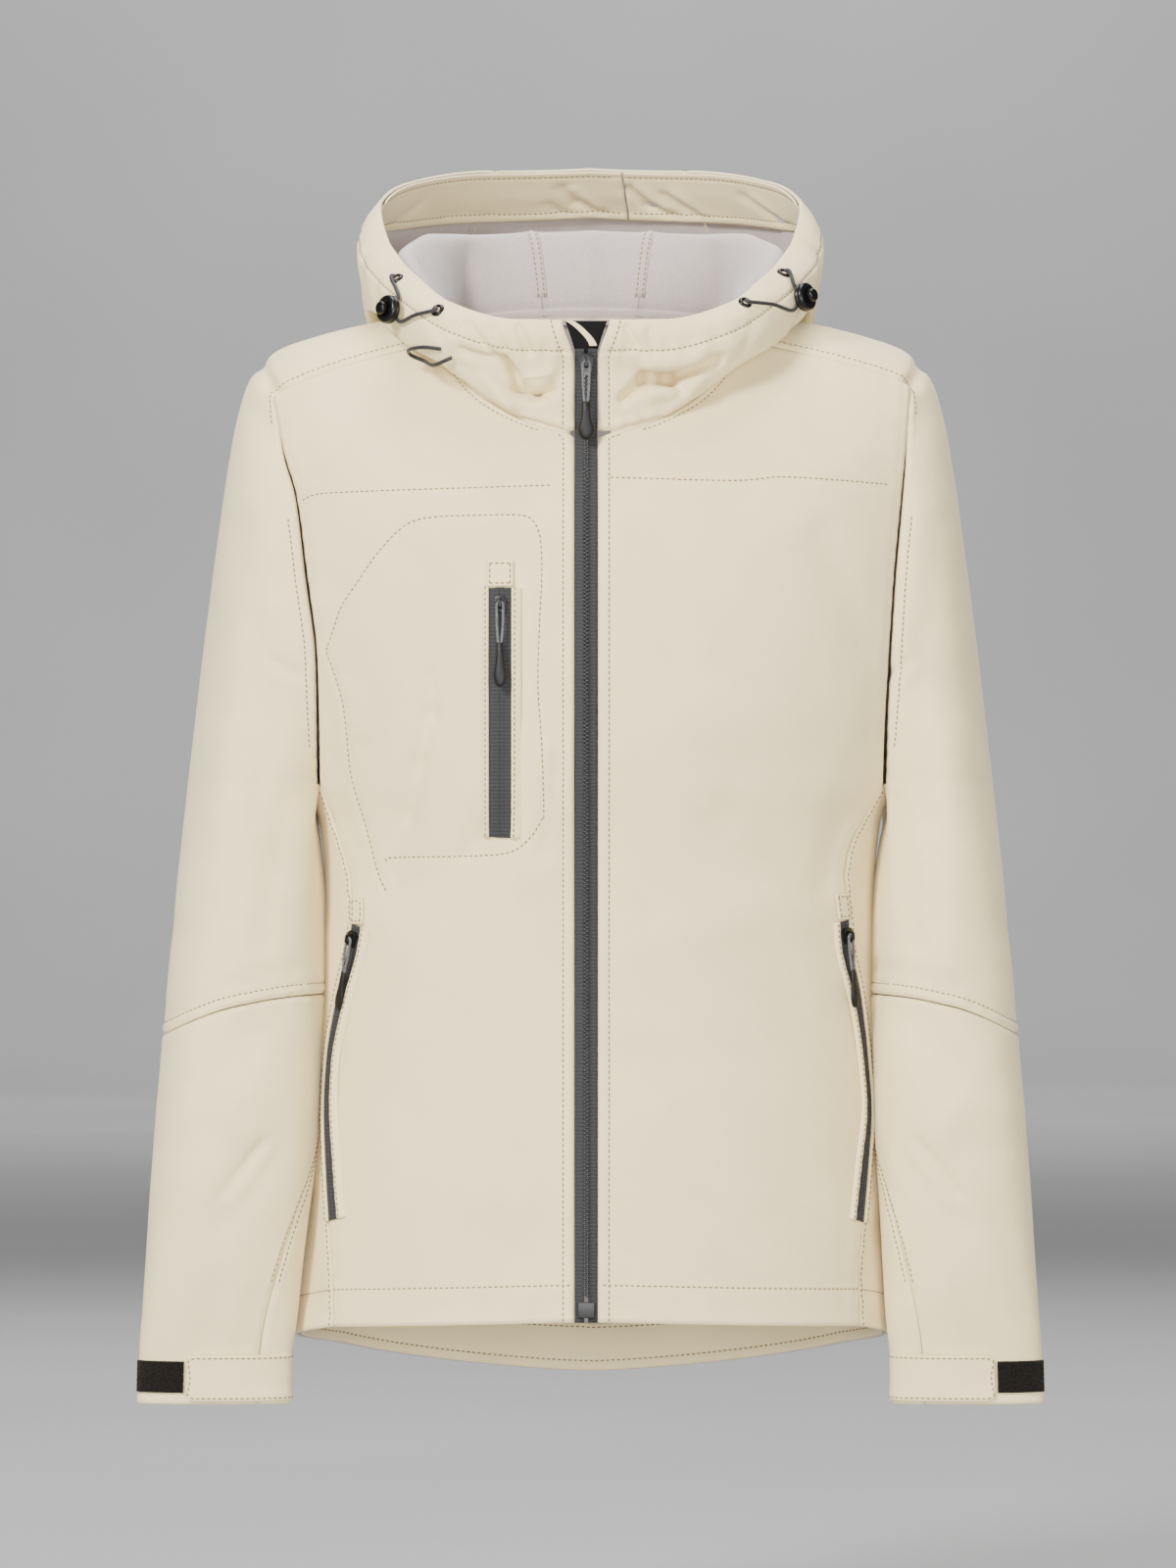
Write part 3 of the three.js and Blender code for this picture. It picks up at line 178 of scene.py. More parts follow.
HOOD = Table("turn riseR riseZ fallR fallZ foldR foldZ lowR lowZ highR highZ rimR rimZ", [
    [0, 96, -38, 98, -26, 100, -12, 103, 0, 105, 10, 105, 18],
    [25, 103, -38, 105.5, -28, 103, -17, 113.5, -7, 119, 7, 117, 19],
    [45, 112, -22, 120, -15, 129, -9, 137, 5, 135, 20, 127, 31],
    [60, 113, 14, 124, 12, 136, 4, 142, 20, 138, 36, 126, 47],
    [75, 114, 44, 125, 36, 138, 20, 146, 35, 144, 51, 127, 62],
    [90, 119, 68, 130, 54, 141, 30, 149, 47, 150, 66, 133, 79],
    [105, 113, 77, 129, 60, 149, 33, 157, 54, 157, 84, 143, 106],
    [125, 104, 81, 126, 50, 160, 2, 175, 34, 168, 86, 145, 122],
    [150, 92, 85, 117, 28, 154, -50, 187, -6, 181, 88, 146, 132],
    [180, 81, 87, 107, 22, 146, -64, 190, -18, 187, 88, 141, 135],
])
BAND_EDGE = Table("turn level", [[105, 5], [125, 5.12], [150, 5.2], [180, 5.28]])
HOOD_STEPS = ("seam", "rise", "fall", "fold", "low", "high", "rim")
BODY_FOLDS = [
    [-98, -205, -124, -335, 17, -3.0],
    [-72, -318, -128, -352, 16, -2.6],
    [-24, -262, -34, -330, 16, 2.4],
    [92, -300, 150, -340, 18, -2.8],
    [60, -370, 150, -352, 20, 2.6],
    [-60, -385, -140, -368, 20, 2.6],
    [30, -250, 120, -232, 24, 2.2],
    [-186, -545, -181, -610, 14, -2.4],
    [186, -565, 178, -600, 14, -2.4],
]
SLEEVE_FOLDS = [
    [224, -28, 200, -52, 13, -3.4],
    [214, -180, 204, -330, 15, -3.0],
    [238, -250, 230, -400, 16, 2.4],
    [208, -430, 250, -470, 14, -3.0],
    [206, -515, 236, -560, 13, -2.8],
    [262, -455, 226, -500, 14, 2.4],
]
UNDER_SEAM = Table("z behind before", [
    [-690, 128, 236],
    [-650, 128, 234],
    [-590, 130, 217],
    [-560, 130, 203],
    [-523, 128, 181],
    [-480, 124, 170],
    [-441, 120, 165],
])

# Finer creases of the dressed cloth: ends seen from the front, reach across and rise, as in the folds above.
FRONT_CREASES = [
    [-102, -210, -102, -234, 5, -2.2],
    [-102, -234, -110, -266, 5, -2.4],
    [-110, -266, -118, -300, 5, -2.2],
    [-118, -300, -126, -337, 6, -1.9],
    [-66, -303, -79, -322, 5, -2.2],
    [-22, -264, -30, -322, 6, -1.9],
    [-36, -250, -27, -300, 8, 1.0],
    [-128, -395, -60, -408, 15, 1.3],
    [-60, -440, -140, -470, 26, -1.2],
    [40, -455, 150, -430, 28, -1.1],
    [35, -130, 140, -160, 30, 1.2],
    [150, -120, 176, -190, 12, -1.6],
    [-150, -95, -168, -150, 12, -1.3],
    [90, -205, 165, -262, 22, -1.4],
    [-150, -255, -168, -300, 9, -1.8],
    [165, -300, 150, -345, 11, -1.8],
    [20, -560, 60, -600, 26, -0.9],
    [-40, -570, -110, -600, 26, -0.9],
    [188, -560, 181, -592, 4, -2.4],
    [-182, -540, -178, -600, 4, -2.2],
    [183, -568, 176, -584, 4, -1.4],
]
BACK_CREASES = [
    [-100, -330, 95, -352, 22, -2.0],
    [-120, -372, 60, -392, 20, 1.8],
    [-90, -420, 110, -404, 24, -1.6],
    [-30, -180, -70, -300, 22, -1.6],
    [40, -150, 95, -280, 24, -1.8],
    [130, -200, 165, -275, 16, -2.2],
    [-132, -210, -160, -272, 16, -2.2],
    [-60, -560, 70, -590, 30, 1.4],
    [-150, -520, -120, -620, 20, -1.4],
    [140, -540, 110, -640, 20, -1.4],
    [0, -70, 0, -140, 26, -1.0],
]
SLEEVE_CREASES = [
    [221, 7, 210, -17, 5, -3.0],
    [210, -17, 201, -28, 5, -2.6],
    [205, -200, 189, -208, 4, -2.0],
    [226, -110, 214, -190, 10, -1.2],
    [206, -220, 216, -300, 9, -1.5],
    [196, -290, 210, -380, 8, -1.6],
    [230, -330, 262, -372, 12, -1.2],
    [190, -398, 235, -408, 7, -1.4],
    [248, -418, 270, -426, 7, -1.0],
    [211, -509, 237, -542, 3, -2.2],
    [206, -514, 231, -549, 4, 1.3],
    [262, -560, 280, -620, 9, -1.0],
    [226, -600, 240, -650, 8, 0.9],
    [205, -470, 262, -492, 14, 1.2],
]


def mix(a, b, u):
    return a + (b - a) * u


def fold_rise(folds, x, z):
    """How far the folds raise the cloth at each place seen from the front."""
    rise = np.zeros(np.broadcast(x, z).shape)
    for x0, z0, x1, z1, reach, height in folds:
        run = (x1 - x0) ** 2 + (z1 - z0) ** 2
        near = np.clip(((x - x0) * (x1 - x0) + (z - z0) * (z1 - z0)) / run, 0, 1)
        away = np.hypot(x - mix(x0, x1, near), z - mix(z0, z1, near))
        rise = rise + height * np.exp(-((away / reach) ** 2))
    return rise


def body_point(turn, z):
    """A point on the body's ring. The turn is 0 at the centre front and negative on the wearer's right."""
    turn, z = np.broadcast_arrays(np.asarray(turn, float), np.asarray(z, float))
    angle = np.radians(np.abs(turn))
    wide = np.where(turn < 0, TORSO("right", z), TORSO("left", z))
    is_front = np.abs(turn) < 90
    deep = np.where(is_front, TORSO("front", z), TORSO("back", z))
    x = np.where(turn < 0, -1, 1) * wide * np.abs(np.sin(angle)) ** (2 / ROUND)
    y = deep * np.abs(np.cos(angle)) ** (2 / ROUND)
    out = fold_rise(BODY_FOLDS, x, z) * np.where(is_front, 1, 0.8) * np.abs(np.cos(angle)) ** 0.5
    return np.stack([x, np.where(is_front, -1, 1) * (y + out), z], -1)


def turn_at(side, half, z, is_back=False):
    wide = TORSO(side, z)
    angle = np.degrees(np.arcsin(np.minimum(1, np.asarray(half) / wide) ** (ROUND / 2)))
    return SIGN[side] * (180 - angle if is_back else angle)


def neck_row():
    return (NECK_FRONT_Z - HEM("z", 0)) / (NECK_SIDE_Z - HEM("z", 0))


def armhole_row(side):
    return (ARMHOLE_Z - HEM_SIDE_Z) / (SHOULDER_Z[side] - HEM_SIDE_Z)


def zip_edge(side):
    return abs(ZIP_X + SIGN[side] * (ZIP_HALF + SEAM))


def front_net(side, rows, columns):
    """Points of a front panel; each row runs from the zip or neck to the outer edge."""
    row = np.asarray(rows)[:, None]
    inner_z = mix(HEM("z", 0), NECK_SIDE_Z, row)
    outer_z = mix(HEM_SIDE_Z, SHOULDER_Z[side], row)
    bend = np.clip((inner_z - NECK_FRONT_Z + 2) / 2, 0, 1)
    inner_half = mix(zip_edge(side), np.maximum(NECK("half", inner_z), zip_edge(side)), bend)
    inner_turn = turn_at(side, inner_half, inner_z)
    outer_turn = turn_at(side, FRONT_EDGE(side, outer_z), outer_z)
    u = np.asarray(columns)[None, :]
    return body_point(mix(inner_turn, outer_turn, u), mix(inner_z, outer_z, u))


def back_net(side, rows, columns):
    """Half of the back panel; each row runs from the centre back to the outer edge."""
    row = np.asarray(rows)[:, None]
    centre_z = mix(HEM("z", 180), NECK_BACK_Z, row)
    low = np.minimum(1, row / armhole_row(side))
    high = np.maximum(0, (row - armhole_row(side)) / (1 - armhole_row(side)))
    below = row <= armhole_row(side)
    seam_z = mix(HEM("z", BACK_SEAM_TURN), ARMHOLE_Z, low)
    outer_z = np.where(below, seam_z, mix(ARMHOLE_Z, SHOULDER_Z[side], high))
    arm_turn = turn_at(side, BACK_EDGE(side, outer_z), outer_z, True)
    top_turn = abs(float(turn_at(side, BACK_EDGE(side, ARMHOLE_Z), ARMHOLE_Z, True)))
    seam_turn = SIGN[side] * mix(BACK_SEAM_TURN, top_turn, low ** 3)
    outer_turn = np.where(below, seam_turn, arm_turn)
    u = np.asarray(columns)[None, :]
    bend = u ** mix(1.3, 1.8, row)
    return body_point(mix(SIGN[side] * 180, outer_turn, u), mix(centre_z, outer_z, bend))


def side_net(side, shares, columns):
    """The side panel, from the front seam to the back seam, up to the armhole under the arm."""
    rows = np.asarray(shares) * armhole_row(side)
    front = front_net(side, rows, [1.0])
    back = back_net(side, rows, [1.0])
    step = math.degrees(SEAM / 110)
    front_turn = np.abs(turn_at(side, np.abs(front[..., 0]), front[..., 2])) + step
    back_turn = np.abs(turn_at(side, np.abs(back[..., 0]), back[..., 2], True)) - step
    u = np.asarray(columns)[None, :]
    dip = ARMHOLE_DIP * np.sin(math.pi * u) * np.asarray(shares)[:, None]
    return body_point(SIGN[side] * mix(front_turn, back_turn, u), mix(front[..., 2], back[..., 2], u) - dip)


def arm_point(side, angle, z):
    outer = ARM("outer", z)
    inner = ARM("inner" + side, z)
    a = np.radians(angle)
    squareness = 2 / 2.25
    across = np.sign(np.cos(a)) * np.abs(np.cos(a)) ** squareness
    along = np.sign(np.sin(a)) * np.abs(np.sin(a)) ** squareness
    x = (outer + inner) / 2 + (outer - inner) / 2 * across
    rise = fold_rise(SLEEVE_FOLDS, x, z) * np.abs(along)
    return np.stack([SIGN[side] * x, ARM("y", z) + (ARM("deep", z) + rise) * along, z + 0 * x], -1)


def unit(v):
    return v / np.maximum(np.linalg.norm(v, axis=-1, keepdims=True), 1e-9)


def net_normals(net):
    """The way each point of a net faces, from its neighbours along rows and columns."""
    return unit(np.cross(np.gradient(net, axis=1), np.gradient(net, axis=0)))


def seam_line(side, is_back, armhole_steps, shoulder_steps):
    """Up the armhole and along the shoulder to the neck: places off the panel's edge by the seam's gap."""
    rows = np.linspace(armhole_row(side), 1, armhole_steps)
    make = back_net if is_back else front_net
    u_end = 4 / 13 if is_back else 0
    edge = make(side, rows, [1.0])[:, 0]
    inside = make(side, rows, [0.985])[:, 0]
    up = edge + unit(edge - inside) * SEAM
    columns = np.linspace(1, u_end, shoulder_steps)[1:]
    top = make(side, [1.0], columns)[0]
    below = make(side, [0.99], columns)[0]
    over = top + unit(top - below) * SEAM
    return np.concatenate([up, over])


def shoulder_sections(side, front, back, shares):
    """Sections over the shoulder and round the outside of the arm, from the front seam to the back seam."""
    steps = np.linalg.norm(np.diff(front, axis=0), axis=1)
    along = np.concatenate([[0], np.cumsum(steps)])[:, None]
    tilt = np.radians(SHOULDER("tilt", along))
    zero = 0 * tilt
    facing = np.stack([SIGN[side] * np.cos(tilt), zero, np.sin(tilt)], -1)
    top = np.stack([SIGN[side] * SHOULDER("x", along), zero, SHOULDER("z", along)], -1)
    wrap = np.radians(SHOULDER("wrap", along))
    u = np.asarray(shares)[None, :]
    end = np.where(u[..., None] < 0, front[:, None, :], back[:, None, :])
    high = ((top - end) * facing).sum(-1) / (1 - np.cos(wrap))
    deep = np.abs(end[..., 1] - top[..., 1]) / np.sin(wrap)

    def shape(bend):
        out = top + facing * (high * (np.cos(bend) - 1))[..., None]
        out[..., 1] += np.sign(end[..., 1]) * deep * np.sin(bend)
        return out

    angle = wrap * np.abs(u)
    place = shape(angle) + (end - shape(wrap + 0 * u)) * (np.abs(u) ** 2)[..., None]
    rise = fold_rise(SLEEVE_FOLDS, np.abs(place[..., 0]), place[..., 2]) * np.abs(np.sin(angle))
    place[..., 1] += np.sign(end[..., 1]) * rise * (1 - np.abs(u) ** 6)
    return place


def elbow_z(angle):
    return mix(ELBOW_INNER_Z, ELBOW_OUTER_Z, ((1 + np.cos(np.radians(angle))) / 2) ** 2)


EDGE_CROWDING = 0.392


def even_edges(count):
    """Steps from 0 to 1 that lie closer together near both ends."""
    t = np.linspace(0, 1, count)
    return t - EDGE_CROWDING * np.sin(2 * math.pi * t) / (2 * math.pi)


def arcs(net, axis):
    """Distance along a net from its start and from its end, in millimetres."""
    steps = np.linalg.norm(np.diff(net, axis=axis), axis=-1)
    shape = list(steps.shape)
    shape[axis] = 1
    gone = np.concatenate([np.zeros(shape), np.cumsum(steps, axis=axis)], axis=axis)
    whole = np.take(gone, [-1], axis=axis)
    return gone, whole - gone


def bell(d, reach):
    return np.exp(-((d / reach) ** 2))


def pucker(s, pitch):
    """An uneven ripple along a seam."""
    wave = np.sin(2 * math.pi * s / pitch + 1.9 * np.sin(s / (pitch * 2.3)))
    return wave * (0.6 + 0.4 * np.sin(s / (pitch * 3.1) + 1))


def seam_relief(d, s, stitch=0.0, ripple=0.25, roll=1.1):
    """Relief beside a seam: the edge rolls in, rows of stitches sink, and the cloth puckers a little."""
    rise = -roll * bell(d, 1.5) + 0.35 * bell(d - 3.2, 1.6)
    if stitch:
        rise = rise - 0.8 * bell(d - stitch, 1.0) * (0.8 + 0.2 * np.sin(s * 2.1))
    return rise + ripple * pucker(s, 13.0) * bell(d - 3, 4.5)


class Hood:
    """The lowered hood: sections round the neck, from its seam over the lowest fold to the rim."""

    def __init__(self):
        rows = np.linspace(float(neck_row()), 1, 6)
        front = front_net("left", rows, [0.0])[:, 0]
        lines = {back: seam_line("left", back, 40, 40) for back in (False, True)}
        shares = np.linspace(-1, 1, 13)
        top = shoulder_sections("left", lines[False], lines[True], shares)[-1][1:-1]
        behind = back_net("left", [1.0], np.arange(5) / 13)[0]
        spots = np.concatenate([front, top, behind])
        turns = np.degrees(np.arctan2(np.abs(spots[:, 0]), -spots[:, 1]))
        ring = np.stack([turns, np.hypot(spots[:, 0], spots[:, 1]), spots[:, 2]], -1)
        self.ring = Table("turn r z", ring[np.argsort(turns)])

    def section(self, turn, v):
        turn, v = np.broadcast_arrays(np.asarray(turn, float), np.asarray(v, float))
        places = []
        for axis, lift in (("R", -1.5), ("Z", 1.2)):
            seam = self.ring(axis.lower(), turn) + lift
            places.append(np.stack([seam] + [HOOD(step + axis, turn) for step in HOOD_STEPS[1:]]))
        i = np.clip(np.floor(v).astype(int), 0, len(HOOD_STEPS) - 2)
        u = v - i
        out = []
        for steps in places:
            near = [np.clip(i + k, 0, 6)[None] for k in (-1, 0, 1, 2)]
            p0, p1, p2, p3 = [np.take_along_axis(steps, step, 0)[0] for step in near]
            out.append(0.5 * (2 * p1 + (p2 - p0) * u + (2 * p0 - 5 * p1 + 4 * p2 - p3) * u * u
                              + (3 * p1 - p0 - 3 * p2 + p3) * u ** 3))
        return out

    def point(self, turn, v):
        turn = np.asarray(turn, float)
        whole = np.where(np.abs(turn) > 180, 360 - np.abs(turn), np.abs(turn))
        r, z = self.section(whole, v)
        return np.stack([r * np.sin(np.radians(turn)), -r * np.cos(np.radians(turn)), z], -1)

    def facing(self, turn, v):
        round_ = self.point(turn + 1, v) - self.point(turn - 1, v)
        up = self.point(turn, np.minimum(6, v + 0.1)) - self.point(turn, np.maximum(0, v - 0.1))
        return unit(np.cross(round_, up))

    def zip_turn(self, side, v):
        t = np.clip((np.asarray(v) - 3.4) / 2.6, 0, 1)
        edge = np.abs(ZIP_X + SIGN[side] * (ZIP_HALF + SEAM + HOOD_SPREAD * t * t * (3 - 2 * t)))
        return np.degrees(np.arcsin(edge / self.section(0, v)[0]))

    def spot(self, turn, v, rise=0.0):
        """A point out from the hood's face, and the way that face looks."""
        facing = self.facing(float(turn), float(v))
        return self.point(float(turn), float(v)) + facing * rise, facing


HOOD_GAP = math.degrees(1.5 * SEAM / 150)
hood = Hood()
made = {}


def add_mesh(name, points, faces, parts=None, smooth=True):
    """A mesh from points in millimetres; parts gives each face its material's place."""
    mesh = bpy.data.meshes.new(name)
    faces = np.asarray(faces, np.int32)
    mesh.vertices.add(len(points))
    mesh.vertices.foreach_set("co", (np.asarray(points, np.float32) / 1000).ravel())
    mesh.loops.add(faces.size)
    mesh.loops.foreach_set("vertex_index", faces.ravel())
    mesh.polygons.add(len(faces))
    mesh.polygons.foreach_set("loop_start", np.arange(0, faces.size, faces.shape[1], dtype=np.int32))
    if parts is not None:
        mesh.polygons.foreach_set("material_index", np.asarray(parts, np.int32))
    mesh.update(calc_edges=True)
    if smooth:
        mesh.shade_smooth()
    piece = bpy.data.objects.new(name, mesh)
    bpy.context.scene.collection.objects.link(piece)
    return piece


class Cloth:
    """A sheet of cloth from one or more nets of points, made into a closed wall with a face and a back."""

    def __init__(self, side=1):
        self.side = side
        self.points = []
        self.relief = []
        self.cells = []
        self.count = 0

    def net(self, points, relief=0.0, closed=False, first_row=None):
        """Adds a net; first_row gives the points that its first row shares with an earlier net."""
        skip = 0 if first_row is None else 1
        fresh = points[skip:]
        ids = self.count + np.arange(fresh.shape[0] * fresh.shape[1]).reshape(fresh.shape[:2])
        self.count += ids.size
        self.points.append(fresh.reshape(-1, 3))
        self.relief.append(np.broadcast_to(relief, points.shape[:2])[skip:].ravel())
        if first_row is not None:
            ids = np.concatenate([np.asarray(first_row)[None], ids])
        loop = np.concatenate([ids, ids[:, :1]], 1) if closed else ids
        cells = np.stack([loop[:-1, :-1], loop[:-1, 1:], loop[1:, 1:], loop[1:, :-1]], -1).reshape(-1, 4)
        self.cells.append(cells if self.side > 0 else cells[:, ::-1])
        return ids

    def wall(self, name, thick=CLOTH, lift=0.0):
        points = np.concatenate(self.points)
        cells = np.concatenate(self.cells)
        a, b, c, d = (points[cells[:, k]] for k in range(4))
        facing = np.cross(c - a, d - b)
        normals = np.zeros_like(points)
        for k in range(4):
            np.add.at(normals, cells[:, k], facing)
        normals = unit(normals)
        rise = np.concatenate(self.relief) + (lift + thick if lift else 0)
        outer = points + normals * rise[:, None]
        inner = outer - normals * thick
        edges = np.concatenate([cells[:, [k, (k + 1) % 4]] for k in range(4)])
        key = edges[:, 0] * self.count + edges[:, 1]
        back_key = edges[:, 1] * self.count + edges[:, 0]
        rim = edges[~np.isin(key, back_key)]
        rims = np.stack([rim[:, 1], rim[:, 0], rim[:, 0] + self.count, rim[:, 1] + self.count], -1)
        faces = np.concatenate([cells, cells[:, ::-1] + self.count, rims])
        parts = np.concatenate([np.zeros(len(cells)), np.ones(len(cells)), np.zeros(len(rims))])
        piece = add_mesh(name, np.concatenate([outer, inner]), faces, parts)
        self.outer, self.normals = outer, normals
        self.area = np.linalg.norm(facing, axis=1).sum() / 2e6
        return piece


def inset(net, normals, edge, distance, start=0.0, stop=1.0):
    """A line at a fixed distance inside one edge of a net, and the way the cloth faces along it."""
    if edge in ("bottom", "top"):
        net, normals = net.transpose(1, 0, 2), normals.transpose(1, 0, 2)
    if edge in ("end", "top"):
        net, normals = net[:, ::-1], normals[:, ::-1]
    low, high = int(start * (len(net) - 1)), int(stop * (len(net) - 1)) + 1
    gone = arcs(net[low:high], 1)[0]

    def inside(values):
        rows = zip(gone, values[low:high])
        return np.array([[np.interp(distance, g, row[:, k]) for k in range(3)] for g, row in rows])

    return inside(net), unit(inside(normals))


def resample(line, normals, pitch):
    gone = np.concatenate([[0], np.cumsum(np.linalg.norm(np.diff(line, axis=0), axis=1))])
    at = np.arange(pitch / 2, gone[-1], pitch)
    place = np.stack([np.interp(at, gone, line[:, k]) for k in range(3)], -1)
    facing = unit(np.stack([np.interp(at, gone, normals[:, k]) for k in range(3)], -1))
    ahead = np.stack([np.interp(np.minimum(at + 0.4, gone[-1]), gone, line[:, k]) for k in range(3)], -1)
    behind = np.stack([np.interp(np.maximum(at - 0.4, 0), gone, line[:, k]) for k in range(3)], -1)
    return place, facing, unit(ahead - behind)


STITCHES = []


def stitch(line, normals):
    """Notes a row of stitches, sewn when all the cloth is in place."""
    if len(line) > 1:
        STITCHES.append((np.asarray(line, float), np.asarray(normals, float)))


def dress(piece, *materials, body="root", nodes=(), slot="softshell"):
    """Gives a piece its materials, and says what it rides on and which solids it stands for."""
    for material in materials:
        piece.data.materials.append(material)
    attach(piece, body)
    if nodes:
        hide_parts(*nodes)
    made[piece.name] = piece
    return piece


def linear(code):
    """An sRGB hex value as a linear colour."""
    parts = [int(code[i:i + 2], 16) / 255 for i in (1, 3, 5)]
    return [c / 12.92 if c <= 0.04045 else ((c + 0.055) / 1.055) ** 2.4 for c in parts] + [1.0]


def colour(name, description, code):
    """A colour setting, from an sRGB hex value."""
    return FloatVectorProperty(name=name, description=description, subtype="COLOR", size=4, min=0.0,
                               max=1.0, default=linear(code))


def number(name, description, default, unit="LENGTH"):
    return FloatProperty(name=name, description=description, default=default, unit=unit)


class JacketColours(bpy.types.PropertyGroup):
    """Colours of the jacket's cloths and trims."""

    face: colour("Woven face", "Cream woven face of the softshell", "#e4d19f")
    fleece: colour("Fleece back", "Brushed fleece on the back of the softshell", "#aea199")
    tape: colour("Zip tape", "Woven tape and teeth of the zips", "#2c2c2d")
    cord: colour("Pull cord", "Braided cord of the zip pulls", "#565658")
    hard: colour("Moulded parts", "Moulded grips, rings, locks and sliders", "#080808")
    pile: colour("Loop pile", "Loop patches of the cuffs", "#0f0a05")
    guard: colour("Chin guard", "Brushed knit of the chin guard", "#0b0a0a")
    # The thread's dark brown is painted shade: it is darker than the thread itself and stands for the small
    # shadows along each stitch.
    thread: colour("Thread", "Thread of the rows of stitches", "#7d6845")
    elastic: colour("Elastic cord", "Covered elastic cord of the hood", "#090909")


class JacketSizes(bpy.types.PropertyGroup):
    """Sizes of the sewing, in metres."""

    pitch: number("Stitch pitch", "From one stitch to the next", 0.0036)
    length: number("Stitch length", "Length of one stitch", 0.0027)
    width: number("Thread width", "Width of the thread", 0.001)


class JacketLights(bpy.types.PropertyGroup):
    """Strengths of the studio's lights."""

    key: number("Key", "Soft light from the upper left", 430.0, "POWER")
    fill: number("Fill", "Soft light from the right", 95.0, "POWER")
    low: number("Low", "Light from below the camera", 150.0, "POWER")
    top: number("Top", "Light from above", 200.0, "POWER")
    back: number("Back", "Light on the sweep and the edges", 60.0, "POWER")
    backdrop: number("Backdrop", "Light on the backdrop alone", 260.0, "POWER")
    sky: FloatProperty(name="Surround", description="Strength of the even light all round", default=0.3)


def colour_of(name):
    """A colour of the jacket as it's set in the scene."""
    return list(getattr(bpy.context.scene.jacket_colours, name))


def node(tree, kind, links=(), **settings):
    """Adds a node: settings are its own values or, by number or name, its sockets' values."""
    new = tree.nodes.new(kind)
    for key, value in settings.items():
        if hasattr(new, key) and key not in new.inputs:
            setattr(new, key, value)
        else:
            new.inputs[key.replace("_", " ")].default_value = value
    for source, target in links:
        tree.links.new(source, new.inputs[target])
    return new


def per_mm(size):
    """A pattern's scale from the real size of one repeat in millimetres."""
    return 1000.0 / size


def material(name, rough, **sockets):
    new = bpy.data.materials.new(name)
    new.use_nodes = True
    tree = new.node_tree
    shader = tree.nodes["Principled BSDF"]
    shader.inputs["Roughness"].default_value = rough
    for key, value in sockets.items():
        shader.inputs[key.replace("_", " ")].default_value = value
    return new, tree, shader


def two_tones(tree, shader, factor, dark, light, low=0.3, high=0.7):
    ramp = node(tree, "ShaderNodeValToRGB", [(factor, "Fac")])
    ramp.color_ramp.elements[0].position = low
    ramp.color_ramp.elements[1].position = high
    ramp.color_ramp.elements[0].color = dark
    ramp.color_ramp.elements[1].color = light
    tree.links.new(ramp.outputs["Color"], shader.inputs["Base Color"])
    return ramp


def shade(name, share):
    """One of the jacket's colours, made darker or lighter."""
    return [c * share for c in colour_of(name)[:3]] + [1.0]


def bump(tree, shader, height, strength, distance, under=None):
    links = [(height, "Height")] + ([(under, "Normal")] if under else [])
    new = node(tree, "ShaderNodeBump", links, Strength=strength, Distance=distance)
    tree.links.new(new.outputs["Normal"], shader.inputs["Normal"])
    return new.outputs["Normal"]


def softshell_face():
    """Bonded softshell, woven face: matt, with a close grain and a faint mottle from the bond."""
    new, tree, shader = material("softshell_woven_face", 0.78, Sheen_Weight=0.18, Sheen_Roughness=0.5)
    place = node(tree, "ShaderNodeTexCoord").outputs["Object"]
    mottle = node(tree, "ShaderNodeTexNoise", [(place, "Vector")], Scale=per_mm(38), Detail=3.0)
    two_tones(tree, shader, mottle.outputs["Fac"], shade("face", 0.955), shade("face", 1.03))
    # The real threads are 0.2 mm apart; they are drawn at 1.1 mm so that the grain shows.
    grain = node(tree, "ShaderNodeTexVoronoi", [(place, "Vector")], Scale=per_mm(1.1))
    weave = bump(tree, shader, grain.outputs["Distance"], 0.16, 0.0004)
    soft = node(tree, "ShaderNodeTexNoise", [(place, "Vector")], Scale=per_mm(7), Detail=4.0)
    bump(tree, shader, soft.outputs["Fac"], 0.22, 0.0012, weave)
    return new


def fleece_back():
    """Brushed fleece on the back of the cloth: no gloss, a fuzzy nap that catches light at its edges."""
    new, tree, shader = material("brushed_fleece_back", 0.95, Sheen_Weight=0.5, Sheen_Roughness=0.6)
    place = node(tree, "ShaderNodeTexCoord").outputs["Object"]
    nap = node(tree, "ShaderNodeTexNoise", [(place, "Vector")], Scale=per_mm(1.6), Detail=6.0, Roughness=0.75)
    two_tones(tree, shader, nap.outputs["Fac"], shade("fleece", 0.86), shade("fleece", 1.08))
    bump(tree, shader, nap.outputs["Fac"], 0.5, 0.001)
    return new


def zip_tape_cloth():
    """Woven polyester zip tape: fine ribs across it, with a low soft sheen."""
    new, tree, shader = material("woven_polyester_tape", 0.8, Sheen_Weight=0.05, Specular_IOR_Level=0.3)
    place = node(tree, "ShaderNodeTexCoord").outputs["Object"]
    ribs = node(tree, "ShaderNodeTexWave", [(place, "Vector")], bands_direction="Z", Scale=per_mm(7.5),
                Distortion=0.6, Detail=1.0)
    two_tones(tree, shader, ribs.outputs["Fac"], shade("tape", 0.78), shade("tape", 1.12))
    bump(tree, shader, ribs.outputs["Fac"], 0.4, 0.0004)
    return new


def moulded_plastic(name="moulded_acetal", rough=0.38, colour="hard"):
    """Moulded acetal: an even satin black with a faint pebble from the mould."""
    new, tree, shader = material(name, rough, IOR=1.48, Specular_IOR_Level=0.3)
    place = node(tree, "ShaderNodeTexCoord").outputs["Object"]
    pebble = node(tree, "ShaderNodeTexNoise", [(place, "Vector")], Scale=per_mm(0.9), Detail=3.0)
    two_tones(tree, shader, pebble.outputs["Fac"], shade(colour, 0.8), shade(colour, 1.25))
    bump(tree, shader, pebble.outputs["Fac"], 0.18, 0.0002)
    return new


